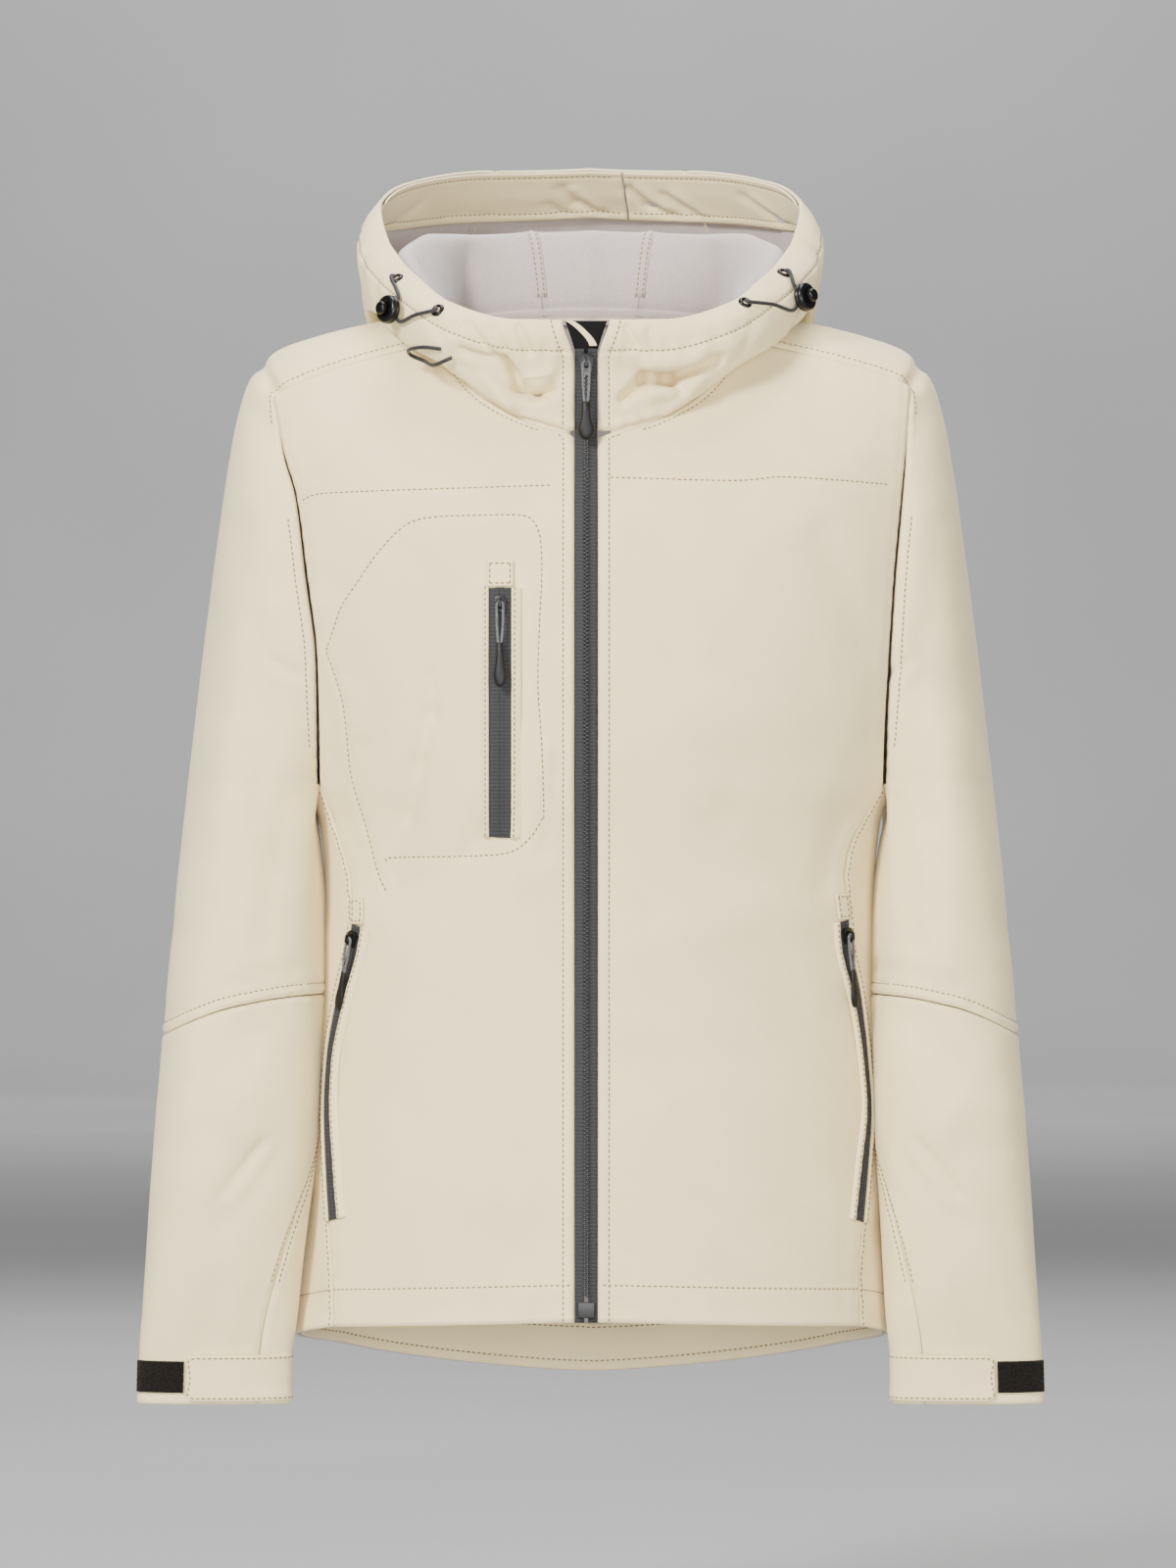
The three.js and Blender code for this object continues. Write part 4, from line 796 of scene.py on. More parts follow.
def braided_cord(name, colour, gloss):
    """Braided cord: crossing strands that break its edge into small steps."""
    new, tree, shader = material(name, gloss, Sheen_Weight=0.15)
    place = node(tree, "ShaderNodeTexCoord").outputs["Object"]
    strands = node(tree, "ShaderNodeTexVoronoi", [(place, "Vector")], Scale=per_mm(1.0))
    two_tones(tree, shader, strands.outputs["Distance"], shade(colour, 1.25), shade(colour, 0.6))
    bump(tree, shader, strands.outputs["Distance"], 0.5, 0.0005)
    return new


def hook_pile():
    """Loop pile of a hook-and-loop patch: dark, rough and full of tiny loops."""
    new, tree, shader = material("nylon_loop_pile", 0.95, Sheen_Weight=0.05, Specular_IOR_Level=0.2)
    place = node(tree, "ShaderNodeTexCoord").outputs["Object"]
    loops = node(tree, "ShaderNodeTexVoronoi", [(place, "Vector")], Scale=per_mm(1.3))
    two_tones(tree, shader, loops.outputs["Distance"], shade("pile", 1.6), shade("pile", 0.5))
    bump(tree, shader, loops.outputs["Distance"], 0.8, 0.001)
    return new


def brushed_knit():
    """Brushed tricot of the chin guard: black and soft, with no gloss."""
    new, tree, shader = material("brushed_tricot", 0.95, Sheen_Weight=0.05, Specular_IOR_Level=0.2)
    place = node(tree, "ShaderNodeTexCoord").outputs["Object"]
    nap = node(tree, "ShaderNodeTexNoise", [(place, "Vector")], Scale=per_mm(1.2), Detail=5.0)
    two_tones(tree, shader, nap.outputs["Fac"], shade("guard", 0.7), shade("guard", 1.3))
    bump(tree, shader, nap.outputs["Fac"], 0.4, 0.0006)
    return new


def thread():
    """Spun polyester thread with a soft sheen along each stitch; its dark brown is painted shade, darker than
    the thread itself, for the small shadows along the stitches.
    """
    new, tree, shader = material("spun_polyester_thread_with_painted_shade", 0.6, Sheen_Weight=0.2)
    place = node(tree, "ShaderNodeTexCoord").outputs["Object"]
    twist = node(tree, "ShaderNodeTexNoise", [(place, "Vector")], Scale=per_mm(0.8))
    two_tones(tree, shader, twist.outputs["Fac"], shade("thread", 0.85), shade("thread", 1.05))
    bump(tree, shader, twist.outputs["Fac"], 0.2, 0.0002)
    return new


MATERIALS = {}


def surface_relief(net, creases):
    """The finer creases of a body or sleeve net, by its places seen from the front."""
    return fold_rise(creases, net[..., 0], net[..., 2])


def line_distance(net, line):
    """Distance in the front view from each place of a net to a line of points."""
    away = np.full(net.shape[:2], 1e9)
    x, z = net[..., 0], net[..., 2]
    for (x0, z0), (x1, z1) in zip(line[:-1], line[1:]):
        run = max((x1 - x0) ** 2 + (z1 - z0) ** 2, 1e-6)
        near = np.clip(((x - x0) * (x1 - x0) + (z - z0) * (z1 - z0)) / run, 0, 1)
        away = np.minimum(away, np.hypot(x - mix(x0, x1, near), z - mix(z0, z1, near)))
    return away


# Rows of stitches on the fronts that follow no seam, by x and z.
CHEST_ROWS = [
    [(-186, -96), (-178, -92.5), (-166, -91.3), (-130, -90.3), (-91, -89.4), (-24.7, -87.5)],
    [(11.9, -82.4), (90, -84.3), (119, -81.8), (144, -82.4), (193, -85.5)],
]
POCKET_BAG = [
    (-170, -193), (-166, -182), (-160, -165), (-150, -150), (-135, -129), (-118.5, -113),
    (-101.6, -108), (-70.4, -106.8), (-45.4, -106.8), (-37.3, -110), (-32.3, -120.5), (-31, -143.5),
    (-32.3, -172.5), (-33.5, -214), (-31, -255.5), (-29.8, -297), (-31, -301), (-39, -313.3),
    (-51.6, -322), (-76.5, -324.5), (-126.5, -325.7), (-131, -328.2),
]
POCKET_BAG_SIDE = [
    (-170, -193), (-165, -206.5), (-159.4, -225), (-156.9, -244), (-155, -266.5), (-151.3, -283.5),
    (-145, -304), (-140, -323), (-135.7, -338), (-131, -348),
]


def front_relief(side, net):
    """Relief of a front panel: its seams, the zip's fold, the hem, the creases and the rows of stitches."""
    from_zip, from_side = arcs(net, 1)
    from_hem, from_top = arcs(net, 0)
    along = from_hem
    rise = surface_relief(net, FRONT_CREASES)
    rise = rise + seam_relief(from_side, along, ripple=0.3) + 0.5 * bell(from_side - 9, 5)
    open_front = net[..., 2] < NECK_FRONT_Z + 1
    fold = 0.7 * bell(from_zip - 3.5, 3.2) - 0.9 * bell(from_zip, 1.2) - 0.45 * bell(from_zip - 7.5, 1.0)
    fold = fold + 0.2 * pucker(along, 17) * bell(from_zip - 9, 4)
    rise = rise + np.where(open_front, fold, seam_relief(from_zip, along, stitch=5.5, ripple=0.3, roll=0.3))
    rise = rise + hem_relief(from_hem, 24) + 0.35 * bell(from_hem - 20, 3)
    rise = rise + 0.18 * pucker(net[..., 0], 15) * bell(from_hem - 24, 6)
    rise = rise + seam_relief(from_top, net[..., 0], ripple=0.2, roll=0.0)
    rows = CHEST_ROWS + ([POCKET_BAG, POCKET_BAG_SIDE] if side == "right" else [])
    for line in rows:
        away = line_distance(net, line)
        rise = rise - 0.6 * bell(away, 1.3) + 0.25 * bell(away - 4, 3)
        rise = rise + 0.12 * pucker(net[..., 0] + 0.7 * net[..., 2], 12) * bell(away, 5)
    return rise


def hem_relief(up, row):
    """Relief of a turned hem: its edge is full, and its row of stitches sinks."""
    return 0.5 * bell(up - 2.5, 2.5) - 0.5 * bell(up - row, 1.1)


def smooth_step(x, low, high):
    t = np.clip((x - low) / (high - low), 0, 1)
    return t * t * (3 - 2 * t)


NECK_STEPS = 176


def rows_through(middle, below, above):
    """Shares from 0 to 1, with even steps on each side of one that has to be hit."""
    return np.unique(np.concatenate([np.linspace(0, middle, below), np.linspace(middle, 1, above)]))


def build_body_panels():
    """Cuts the fronts, the side panels and the back; returns the fronts' places and facings."""
    nets = {}
    for side in SIDES:
        sign = SIGN[side]
        rows = rows_through(float(neck_row()), NECK_STEPS, 54)
        columns = even_edges(80)
        net = front_net(side, rows, columns)
        cloth = Cloth(sign)
        cloth.net(net, front_relief(side, net))
        piece = cloth.wall(f"panel_front_{side}")
        dress(piece, MATERIALS["face"], MATERIALS["fleece"], nodes=[f"front_{side}"])
        place = cloth.outer.reshape(net.shape)
        facing = cloth.normals.reshape(net.shape)
        nets["front", side] = (place, facing)
        neck_share = (NECK_STEPS - 1) / (len(rows) - 1)
        stitch(*inset(place, facing, "start", 7.5, 0, neck_share))
        stitch(*inset(place, facing, "start", 5.5, neck_share + 0.01, 1))
        stitch(*inset(place, facing, "bottom", 24, 0.02, 0.985))

        shares = np.linspace(0, 1, 150)
        net = side_net(side, shares, even_edges(48))
        before, after = arcs(net, 1)
        up, down = arcs(net, 0)
        rise = surface_relief(net, SIDE_CREASES) + seam_relief(before, up, stitch=2.6, ripple=0.35)
        rise = rise + seam_relief(after, up, stitch=2.6, ripple=0.3) + seam_relief(down, before, ripple=0.1)
        rise = rise + hem_relief(up, 24)
        cloth = Cloth(sign)
        cloth.net(net, rise)
        piece = cloth.wall(f"panel_side_{side}")
        dress(piece, MATERIALS["face"], MATERIALS["fleece"], nodes=[f"side_panel_{side}"])
        place = cloth.outer.reshape(net.shape)
        facing = cloth.normals.reshape(net.shape)
        stitch(*inset(place, facing, "start", 2.6))
        stitch(*inset(place, facing, "end", 2.6))
        stitch(*inset(place, facing, "bottom", 24, 0.03, 0.97))

    halves = []
    for side in ("left", "right"):
        rows = rows_through(armhole_row(side), 90, 72)
        halves.append(back_net(side, rows, even_edges(140)[70:] * 2 - 1))
    net = np.concatenate([halves[0][:, ::-1], halves[1][:, 1:]], 1)
    before, after = arcs(net, 1)
    up, down = arcs(net, 0)
    rise = surface_relief(net, BACK_CREASES)
    rise = rise + seam_relief(before, up, ripple=0.3) + seam_relief(after, up, ripple=0.3)
    rise = rise + hem_relief(up, 24) + seam_relief(down, before, stitch=5.5, ripple=0.3)
    cloth = Cloth()
    cloth.net(net, rise)
    piece = cloth.wall("panel_back")
    dress(piece, MATERIALS["face"], MATERIALS["fleece"], nodes=["back"])
    place = cloth.outer.reshape(net.shape)
    facing = cloth.normals.reshape(net.shape)
    nets["back"] = (place, facing, cloth)
    stitch(*inset(place, facing, "bottom", 24, 0.02, 0.98))
    stitch(*inset(place, facing, "top", 5.5, 0.3, 0.7))
    return nets


SIDE_CREASES = [
    [-186, -545, -181, -610, 8, -1.4],
    [186, -565, 178, -600, 8, -1.4],
    [-178, -380, -172, -460, 14, 1.2],
    [186, -380, 180, -460, 14, 1.2],
]


def build_upper_sleeve(side):
    """The shoulder and the arm down to the elbow seam, cut as one piece."""
    sign = SIGN[side]
    columns = np.linspace(-1, 1, 81)
    lines = [seam_line(side, is_back, 90, 60) for is_back in (False, True)]
    upper = shoulder_sections(side, *lines, columns)
    flank = side_net(side, [1.0], np.linspace(1, 0, 30)[1:-1])[0] + [sign * 1.2, 0, 0]
    ring = np.concatenate([upper[0], flank])
    wrap = float(SHOULDER("wrap", 0))
    under_share = np.arange(1, len(flank) + 1) / (len(flank) + 1)
    angles = np.concatenate([wrap * columns, wrap + (360 - 2 * wrap) * under_share])
    miss = ring - arm_point(side, angles, ring[:, 2])
    down = (1 - np.cos(np.linspace(0, math.pi, 80))) / 2 * 0.5 + np.linspace(0, 1, 80) * 0.5
    z = mix(ring[None, :, 2], (elbow_z(angles) + 2 * SEAM)[None], down[:, None])
    left = np.maximum(0, 1 - (ring[None, :, 2] - z) / 110) ** 2
    tube = arm_point(side, angles[None, :] + 0 * z, z) + miss[None] * left[..., None]
    tube[0] = ring
    tube = tube[::-1]

    around, _ = arcs(tube, 1)
    from_elbow, from_top = arcs(tube, 0)
    cloth = Cloth(sign)
    lower_relief = surface_relief(np.abs(tube) * [1, 1, -1], SLEEVE_CREASES)
    lower_relief = lower_relief + seam_relief(from_elbow, around, stitch=7.5, ripple=0.35)
    lower_relief = lower_relief + 2.0 * np.clip(-np.cos(np.radians(angles)), 0, 1) ** 4
    under_arm = np.zeros(len(angles))
    under_arm[len(columns):] = 1
    lower_relief = lower_relief + seam_relief(from_top, around, ripple=0.1) * under_arm[None]
    before, after = arcs(upper, 1)
    up, to_neck = arcs(upper, 0)
    upper_relief = surface_relief(upper * [sign, 1, 1], SLEEVE_CREASES)
    stitched = (up > 22) & (up < 175)
    for edge in (before, after):
        upper_relief = upper_relief + seam_relief(edge, up, ripple=0.3)
        upper_relief = upper_relief - 0.4 * bell(edge - 7.5, 1.0) * stitched
    upper_relief = upper_relief + seam_relief(to_neck, before, stitch=5.5, ripple=0.2)
    lower_relief[-1, :len(columns)] = upper_relief[0]
    tube_ids = cloth.net(tube, lower_relief, closed=True)
    upper_ids = cloth.net(upper, upper_relief, first_row=tube_ids[-1, :len(columns)])
    piece = cloth.wall(f"sleeve_top_{side}")
    dress(piece, MATERIALS["face"], MATERIALS["fleece"], nodes=[f"sleeve_upper_{side}"])
    place, facing = cloth.outer[upper_ids], cloth.normals[upper_ids]
    reach = len(up) - 1
    low, high = [int(np.argmax(up[:, 0] > v)) / reach for v in (22, 175)]
    for edge in ("start", "end"):
        stitch(*inset(place, facing, edge, 7.5, low, high))
        stitch(*inset(place, facing, edge, 5.5, 0.56, 0.985))
    place, facing = cloth.outer[tube_ids], cloth.normals[tube_ids]
    stitch(*inset(place, facing, "bottom", 7.5))


def build_lower_sleeve(side):
    """The forearm's main piece and the narrow piece under it."""
    gap = math.degrees(SEAM / 30)
    strips = [
        ("lower", "before", -360, "behind", 102),
        ("under", "behind", 0, "before", 40),
    ]
    for label, first, back, last, count in strips:
        share = np.linspace(0, 1, 108)[:, None]
        guess = mix(ELBOW_OUTER_Z, SLEEVE_END_Z, share)
        start = UNDER_SEAM(first, guess) + back + gap / 2
        end = UNDER_SEAM(last, guess) - gap / 2
        angle = mix(start, end, even_edges(count)[None])
        z = mix(elbow_z(angle), SLEEVE_END_Z, share)
        net = arm_point(side, angle, z)[::-1]
        before, after = arcs(net, 1)
        up, down = arcs(net, 0)
        rise = surface_relief(np.abs(net) * [1, 1, -1], SLEEVE_CREASES)
        rise = rise + seam_relief(down, before, ripple=0.35) + hem_relief(up, 30)
        leaning = 2.0 + 2.5 * smooth_step(-net[..., 2], 450, 540) - 3.5 * smooth_step(-net[..., 2], 610, 670)
        rise = rise + leaning * np.clip(-np.cos(np.radians(angle[::-1])), 0, 1) ** 4
        for edge in (before, after):
            rise = rise + seam_relief(edge, up, stitch=2.6, ripple=0.25)
        cloth = Cloth(SIGN[side])
        cloth.net(net, rise)
        piece = cloth.wall(f"sleeve_{label}_piece_{side}")
        dress(piece, MATERIALS["face"], MATERIALS["fleece"], nodes=[f"sleeve_{label}_{side}"])
        place, facing = cloth.outer.reshape(net.shape), cloth.normals.reshape(net.shape)
        stitch(*inset(place, facing, "start", 2.6, 0.3, 1))
        stitch(*inset(place, facing, "end", 2.6, 0.3, 1))


# Creases of the hood, by turn and level: ends, reach across in millimetres and rise.
HOOD_CREASES = [
    [42, 3.1, 45, 4.5, 4, -1.5],
    [28, 1.2, 46, 2.0, 7, 2.2],
    [30, 0.4, 48, 1.5, 5, -2.2],
    [60, 1.4, 84, 2.2, 8, -2.2],
    [66, 3.3, 74, 4.6, 4, -1.7],
    [80, 3.2, 88, 5.0, 6, -2.2],
    [96, 2.0, 118, 3.0, 10, 2.2],
    [98, 3.4, 108, 5.1, 6, -2.0],
    [110, 1.2, 140, 2.6, 12, -2.6],
    [118, 3.6, 124, 5.2, 6, -1.8],
    [128, 3.4, 150, 4.6, 14, 2.4],
    [150, 2.6, 176, 3.8, 14, -2.6],
    [165, 4.2, 182, 5.2, 10, 1.6],
]
# The deep folds and gathers at the front of the hood; the turn is negative on the wearer's right.
HOOD_FRONT_FOLDS = [
    [-39, 3.8, -29, 3.7, 3.6, -5.8],
    [-29, 3.7, -26, 2.4, 3.6, -9.4],
    [-26, 2.4, -20, 1.8, 3.6, -10.9],
    [-20, 1.8, -14, 2.2, 3.6, -8],
    [-23, 3, -15, 3.1, 6.3, 5.1],
    [-35, 2.5, -29, 1.4, 5.4, 4.3],
    [39, 3.3, 28, 2.8, 3.6, -8],
    [28, 2.8, 20, 2.9, 3.6, -9.4],
    [20, 2.9, 12, 1.6, 3.6, -8],
    [28, 2.8, 32, 2, 3.6, -5.1],
    [36, 2.2, 22, 2, 5.4, 5.1],
    [34, 3.9, 20, 3.8, 6.3, 4.3],
    [-37, 5.2, -31, 4.1, 2.7, -3.5],
    [-30, 5.2, -27, 4.2, 2.7, -2.6],
    [-23, 5.4, -20, 4.4, 2.7, -3.5],
    [12, 5.4, 15, 4.6, 2.7, -3.2],
    [19, 5.2, 21, 4.3, 2.7, -2.5],
]


# Millimetres along the hood to a degree of turn, and up it to a level.
TURN_MM = 2.2
LEVEL_MM = 11


def on_hood(creases, shift=0.0):
    """Creases given by turn and level, as places in millimetres."""
    return [[(t0 + shift) * TURN_MM, v0 * LEVEL_MM, (t1 + shift) * TURN_MM, v1 * LEVEL_MM, reach, rise]
            for t0, v0, t1, v1, reach, rise in creases]


def hood_relief(net, turns, levels, mirror):
    """Relief of a hood piece: its creases, the tunnel of the cord and the gathers along its stitches."""
    whole = np.abs(turns)
    whole = np.where(whole > 180, 360 - whole, whole) + 0 * levels
    along, height = (turns + 0 * levels) * TURN_MM, (levels + 0 * whole) * LEVEL_MM
    rise = fold_rise(on_hood(HOOD_CREASES, 3.5 if mirror else 0), whole * TURN_MM, height)
    rise = rise + fold_rise(on_hood(HOOD_FRONT_FOLDS), along, height)
    up, down = arcs(net, 0)
    around = whole * 2.3
    rise = rise + 0.9 * bell(down - 10, 8) - 0.7 * bell(down - 22, 1.5) - 0.5 * bell(down, 1.2)
    rise = rise + 0.75 * pucker(around + (7 if mirror else 0), 14) * bell(down - 22, 9)
    return rise + seam_relief(up, around, ripple=0.4, roll=0.2) + 1.3 * bell(up - 3, 4)


def build_hood():
    levels = np.linspace(0, 6, 112)[:, None]
    for side in SIDES:
        sign = SIGN[side]
        start = hood.zip_turn(side, levels[:, 0])[:, None]
        turns = sign * mix(start, HOOD_SEAM_TURN - HOOD_GAP, even_edges(156)[None])
        net = hood.point(turns, levels)
        from_zip, from_seam = arcs(net, 1)
        up, _ = arcs(net, 0)
        rise = hood_relief(net, turns, levels, side == "left")
        rise = rise + 0.6 * bell(from_zip - 3.5, 3) - 0.9 * bell(from_zip, 1.2)
        rise = rise - 0.4 * bell(from_zip - 7.5, 1.0)
        rise = rise + seam_relief(from_seam, up, stitch=2.8, ripple=0.4)
        cloth = Cloth(sign)
        cloth.net(net, rise)
        piece = cloth.wall(f"hood_side_{side}")
        dress(piece, MATERIALS["face"], MATERIALS["fleece"], nodes=[f"hood_{side}"])
        place, facing = cloth.outer.reshape(net.shape), cloth.normals.reshape(net.shape)
        stitch(*inset(place, facing, "top", 22, 0.03, 0.99))
        stitch(*inset(place, facing, "start", 7.5, 0.05, 0.98))
        stitch(*inset(place, facing, "end", 2.8))
    turns = mix(HOOD_SEAM_TURN, 360 - HOOD_SEAM_TURN, even_edges(64)[None])
    net = hood.point(turns, levels)
    before, after = arcs(net, 1)
    up, _ = arcs(net, 0)
    rise = hood_relief(net, turns, levels, False)
    for edge in (before, after):
        rise = rise + seam_relief(edge, up, stitch=2.8, ripple=0.4)
    cloth = Cloth()
    cloth.net(net, rise)
    piece = cloth.wall("hood_centre")
    dress(piece, MATERIALS["face"], MATERIALS["fleece"], nodes=["hood_middle"])
    place, facing = cloth.outer.reshape(net.shape), cloth.normals.reshape(net.shape)
    for edge in ("start", "end"):
        stitch(*inset(place, facing, edge, 2.8))
    stitch(*inset(place, facing, "top", 22))


def laid(name, net, thick, lift, materials, relief=0.0, outward=(0, -1, 0), **dressing):
    """A piece that lies on a face: its net is on that face, and it is lifted off it the way it looks."""
    toward = (net_normals(net) * np.asarray(outward)).sum()
    cloth = Cloth(1 if toward > 0 else -1)
    cloth.net(net, relief)
    piece = cloth.wall(name, thick, lift)
    dress(piece, *materials, **dressing)
    return piece, cloth.outer.reshape(net.shape), cloth.normals.reshape(net.shape), cloth


# Gathers of the hood's band: ends by the way along it and up it, reach and rise.
BAND_GATHERS = [
    [431, 30, 421, 15, 4, -2.4],
    [421, 15, 408, 5, 3, -2.0],
    [424, 29, 411, 12, 4, 1.4],
    [437, 14, 428, 4, 3, -2.0],
    [391, 30, 381, 13, 4, -2.8],
    [381, 13, 369, 4, 3, -2.2],
    [386, 31, 374, 13, 4, 1.5],
    [371, 24, 356, 5, 4, -2.2],
    [365, 27, 352, 9, 4, 1.2],
    [316, 24, 296, 9, 5, -2.0],
    [296, 9, 283, 3, 4, -1.6],
    [306, 26, 288, 10, 5, 1.2],
    [494, 7, 468, 5, 5, -1.3],
    [525, 20, 540, 6, 6, -1.3],
]


def build_facings():
    meet = mix(HOOD_SEAM_TURN, 360 - HOOD_SEAM_TURN, 2 / 6)
    for side in SIDES:
        start = float(hood.zip_turn(side, 6.0))
        end = SIGN[side] * mix(start, HOOD_SEAM_TURN - HOOD_GAP, 10 / 15)
        if side == "right":
            turns = np.linspace(360 + end, meet + HOOD_GAP, 90)[None]
        else:
            turns = np.linspace(meet - HOOD_GAP, end, 70)[None]
        levels = mix(BAND_EDGE("level", np.minimum(turns, 360 - turns)), 6, np.linspace(0, 1, 34)[:, None])
        net = hood.point(turns, levels) - hood.facing(turns + 0 * levels, levels) * (CLOTH + 0.3)
        centre = np.array([0, 60, 100])
        inward = centre - net.mean((0, 1))
        low, high = arcs(net, 0)
        along = turns * 2.3 + 0 * levels
        gather = 0.9 * bell(low - 3, 3) - 0.7 * bell(low - 6, 1.0) + 1.4 * bell(low - 0.5 * (low + high), 11)
        gather = gather + fold_rise(BAND_GATHERS, along, low) - 0.6 * bell(high - 4, 1.1)
        piece, place, facing, cloth = laid(f"band_{side}", net, 1.2, 0.7, [MATERIALS["face"]], gather, inward,
                                           nodes=[f"hood_facing_{side}"])
        stitch(*inset(place, facing, "bottom", 6, 0.02, 0.98))
        stitch(*inset(place, facing, "top", 4, 0.02, 0.98))
    share = np.linspace(0, 1, 16)
    halves = [back_net(side, share / 13 * armhole_row(side), np.linspace(0, 1, 66))
              for side in ("left", "right")]
    flanks = [side_net(side, share / 13, np.linspace(0, 1, 26)) for side in ("left", "right")]
    net = np.concatenate([flanks[0], halves[0][:, ::-1][:, 1:], halves[1][:, 1:-1], flanks[1][:, ::-1]], 1)
    net = net * [0.982, 1, 1]
    net[..., 1] -= CLOTH * np.clip(net[..., 1] / 30, -1, 1)
    net[..., 2] += 0.4
    low, high = arcs(net, 0)
    rise = 0.7 * bell(low - 3, 3) - 0.5 * bell(low - 6.5, 1.0) - 0.4 * bell(high - 2.5, 1.0)
    rise = rise + 0.3 * pucker(net[..., 0], 21) * bell(low - 12, 12)
    rise = rise + surface_relief(net, [[-42, -645, -29, -655, 5, -1.4]])
    piece, place, facing, cloth = laid("hem_facing", net, 1.2, 0.7, [MATERIALS["face"]], rise, (0, -1, 0),
                                       nodes=["hem_facing_back"])
    stitch(*inset(place, facing, "bottom", 6.5, 0.02, 0.98))
    stitch(*inset(place, facing, "top", 2.5, 0.02, 0.98))
    # The neck seam's own turnings bridge the joint of hood and body on the inside.
    turns = np.linspace(8, 352, 240)[None]
    whole = np.minimum(turns, 360 - turns)
    upper = hood.point(turns, 0.12 + 0 * turns) - hood.facing(turns, 0.12 + 0 * turns) * CLOTH * 0.45
    radius = hood.ring("r", whole) - CLOTH - 0.2
    lower = np.stack([radius * np.sin(np.radians(turns)), -radius * np.cos(np.radians(turns)),
                      hood.ring("z", whole) - 5], -1)
    net = mix(lower, upper, np.linspace(0, 1, 7)[:, None, None])
    laid("neck_seam_turnings", net, 0.8, 0.0, [MATERIALS["face"], MATERIALS["fleece"]], 0.0, net * [1, 1, 0])
    # Felled seams on the fleece inside the hood and nape.
    for sign in (-1, 1):
        v = np.linspace(0.25, 4.9, 90)[:, None]
        width = np.linspace(-4.6, 4.6, 9)[None]
        turns = sign * (HOOD_SEAM_TURN + np.degrees(width / 115))
        net = hood.point(turns + 0 * v, v) - hood.facing(turns + 0 * v, v + 0 * turns) * CLOTH
        inward = np.array([0, 60, 60]) - net.mean((0, 1))
        side = "right" if sign < 0 else "left"
        name = f"felled_seam_{side}"
        _, place, facing, _ = laid(name, net, 0.7, 0.35, [MATERIALS["fleece"]], 0.0, inward)
        for edge in ("start", "end"):
            stitch(*inset(place, facing, edge, 1.4))


def zip_line():
    """The front zip's line: level and depth of the cloth's face from the hem to the top of the tape."""
    z = np.linspace(float(HEM("z", 0)), NECK_FRONT_Z, 260)
    y = body_point(-2.0, z)[:, 1]
    v = np.linspace(0.3, 5.7, 60)
    r, collar_z = hood.section(0.0, v)
    keep = collar_z < 14
    return np.concatenate([z, collar_z[keep]]), np.concatenate([y, -r[keep]])


def at_levels(z, y, levels):
    order = np.argsort(z)
    return np.interp(levels, z[order], y[order])


def box_row(places, size):
    """Small blocks with cut front edges, one at each place, for the zip's teeth."""
    w, d, h = (s / 2 for s in size)
    back = [(x, d, z) for x, z in ((-w, -h), (w, -h), (w, h), (-w, h))]
    middle = [(x, 0, z) for x, _, z in back]
    front = [(x * 0.7, -d, z * 0.7) for x, _, z in back]
    base = np.array(front + middle + back)
    faces = [[0, 1, 2, 3]]
    for ring in (0, 4):
        faces += [[ring + k, ring + 4 + k, ring + 4 + (k + 1) % 4, ring + (k + 1) % 4] for k in range(4)]
    points = (np.asarray(places)[:, None, :] + base[None]).reshape(-1, 3)
    quads = (np.asarray(faces)[None] + (np.arange(len(places)) * len(base))[:, None, None]).reshape(-1, 4)
    return points, quads


def build_front_zip():
    z, y = zip_line()
    levels = np.linspace(z.min(), 0, 420)
    depth = at_levels(z, y, levels)
    for side in SIDES:
        sign = SIGN[side]
        across = np.array([1.2, 2.0, 2.9, 3.1, 5.2, 7.2])
        height = np.array([0.5, 0.5, 0.2, 0.0, 0.0, -0.15])
        x = ZIP_X + sign * across[None] + 0 * levels[:, None]
        net = np.stack([x, depth[:, None] + 1.0 - height[None] + 0 * x, levels[:, None] + 0 * x], -1)
        cloth = Cloth(sign)
        cloth.net(net)
        piece = cloth.wall(f"tape_{side}", 0.8)
        dress(piece, MATERIALS["tape"], nodes=[f"zip_tape_{side}"], slot="zip_tape")
    pitch = 2.5
    rows = []
    for half in (0, 1):
        at = np.arange(-605 + half * pitch / 2, SLIDER_Z - 8, pitch)
        x = ZIP_X + (-0.75 if half else 0.75)
        rows.append(np.stack([x + 0 * at, at_levels(z, y, at) + 0.1, at], -1))
    points, faces = box_row(np.concatenate(rows), (2.6, 1.6, 1.5))
    teeth = add_mesh("zip_teeth", points, faces, smooth=False)
    dress(teeth, MATERIALS["tooth"], nodes=["zip_chain"], slot="zip_tape")
    bevelled("zip_box", "zip_pin_box", 0.5, MATERIALS["hard"])
    level = np.linspace(0, 1, 30)[:, None]
    v = mix(3.6, 5.95, level)
    r, guard_z = hood.section(0.0, v)
    half = mix(6, 13.6, level)
    across = np.linspace(-1, 1, 22)[None]
    bow = 0.4 * (1 - across ** 2)
    net = np.stack([across * half + ZIP_X, -r + 3.8 + 0 * across - bow, guard_z + 0 * across], -1)
    piece, _, _, cloth = laid("guard_knit", net, 1.5, 0.2, [MATERIALS["guard"]], nodes=["chin_guard"],
                              slot="chin_guard")
    v = mix(4.2, 5.95, level)
    r, lip_z = hood.section(0.0, v)
    middle = mix(4.5, -11.5, level ** 1.4)
    across = np.linspace(-2.4, 2.4, 9)[None]
    net = np.stack([middle + across + ZIP_X, -r + 1.2 + 0 * across, lip_z + 0 * across], -1)
    fold = 0.5 * bell(across + 0 * level, 1.6)
    laid("guard_lip", net, 1.2, 0.2, [MATERIALS["face"]], fold, nodes=["chin_guard_lip"])


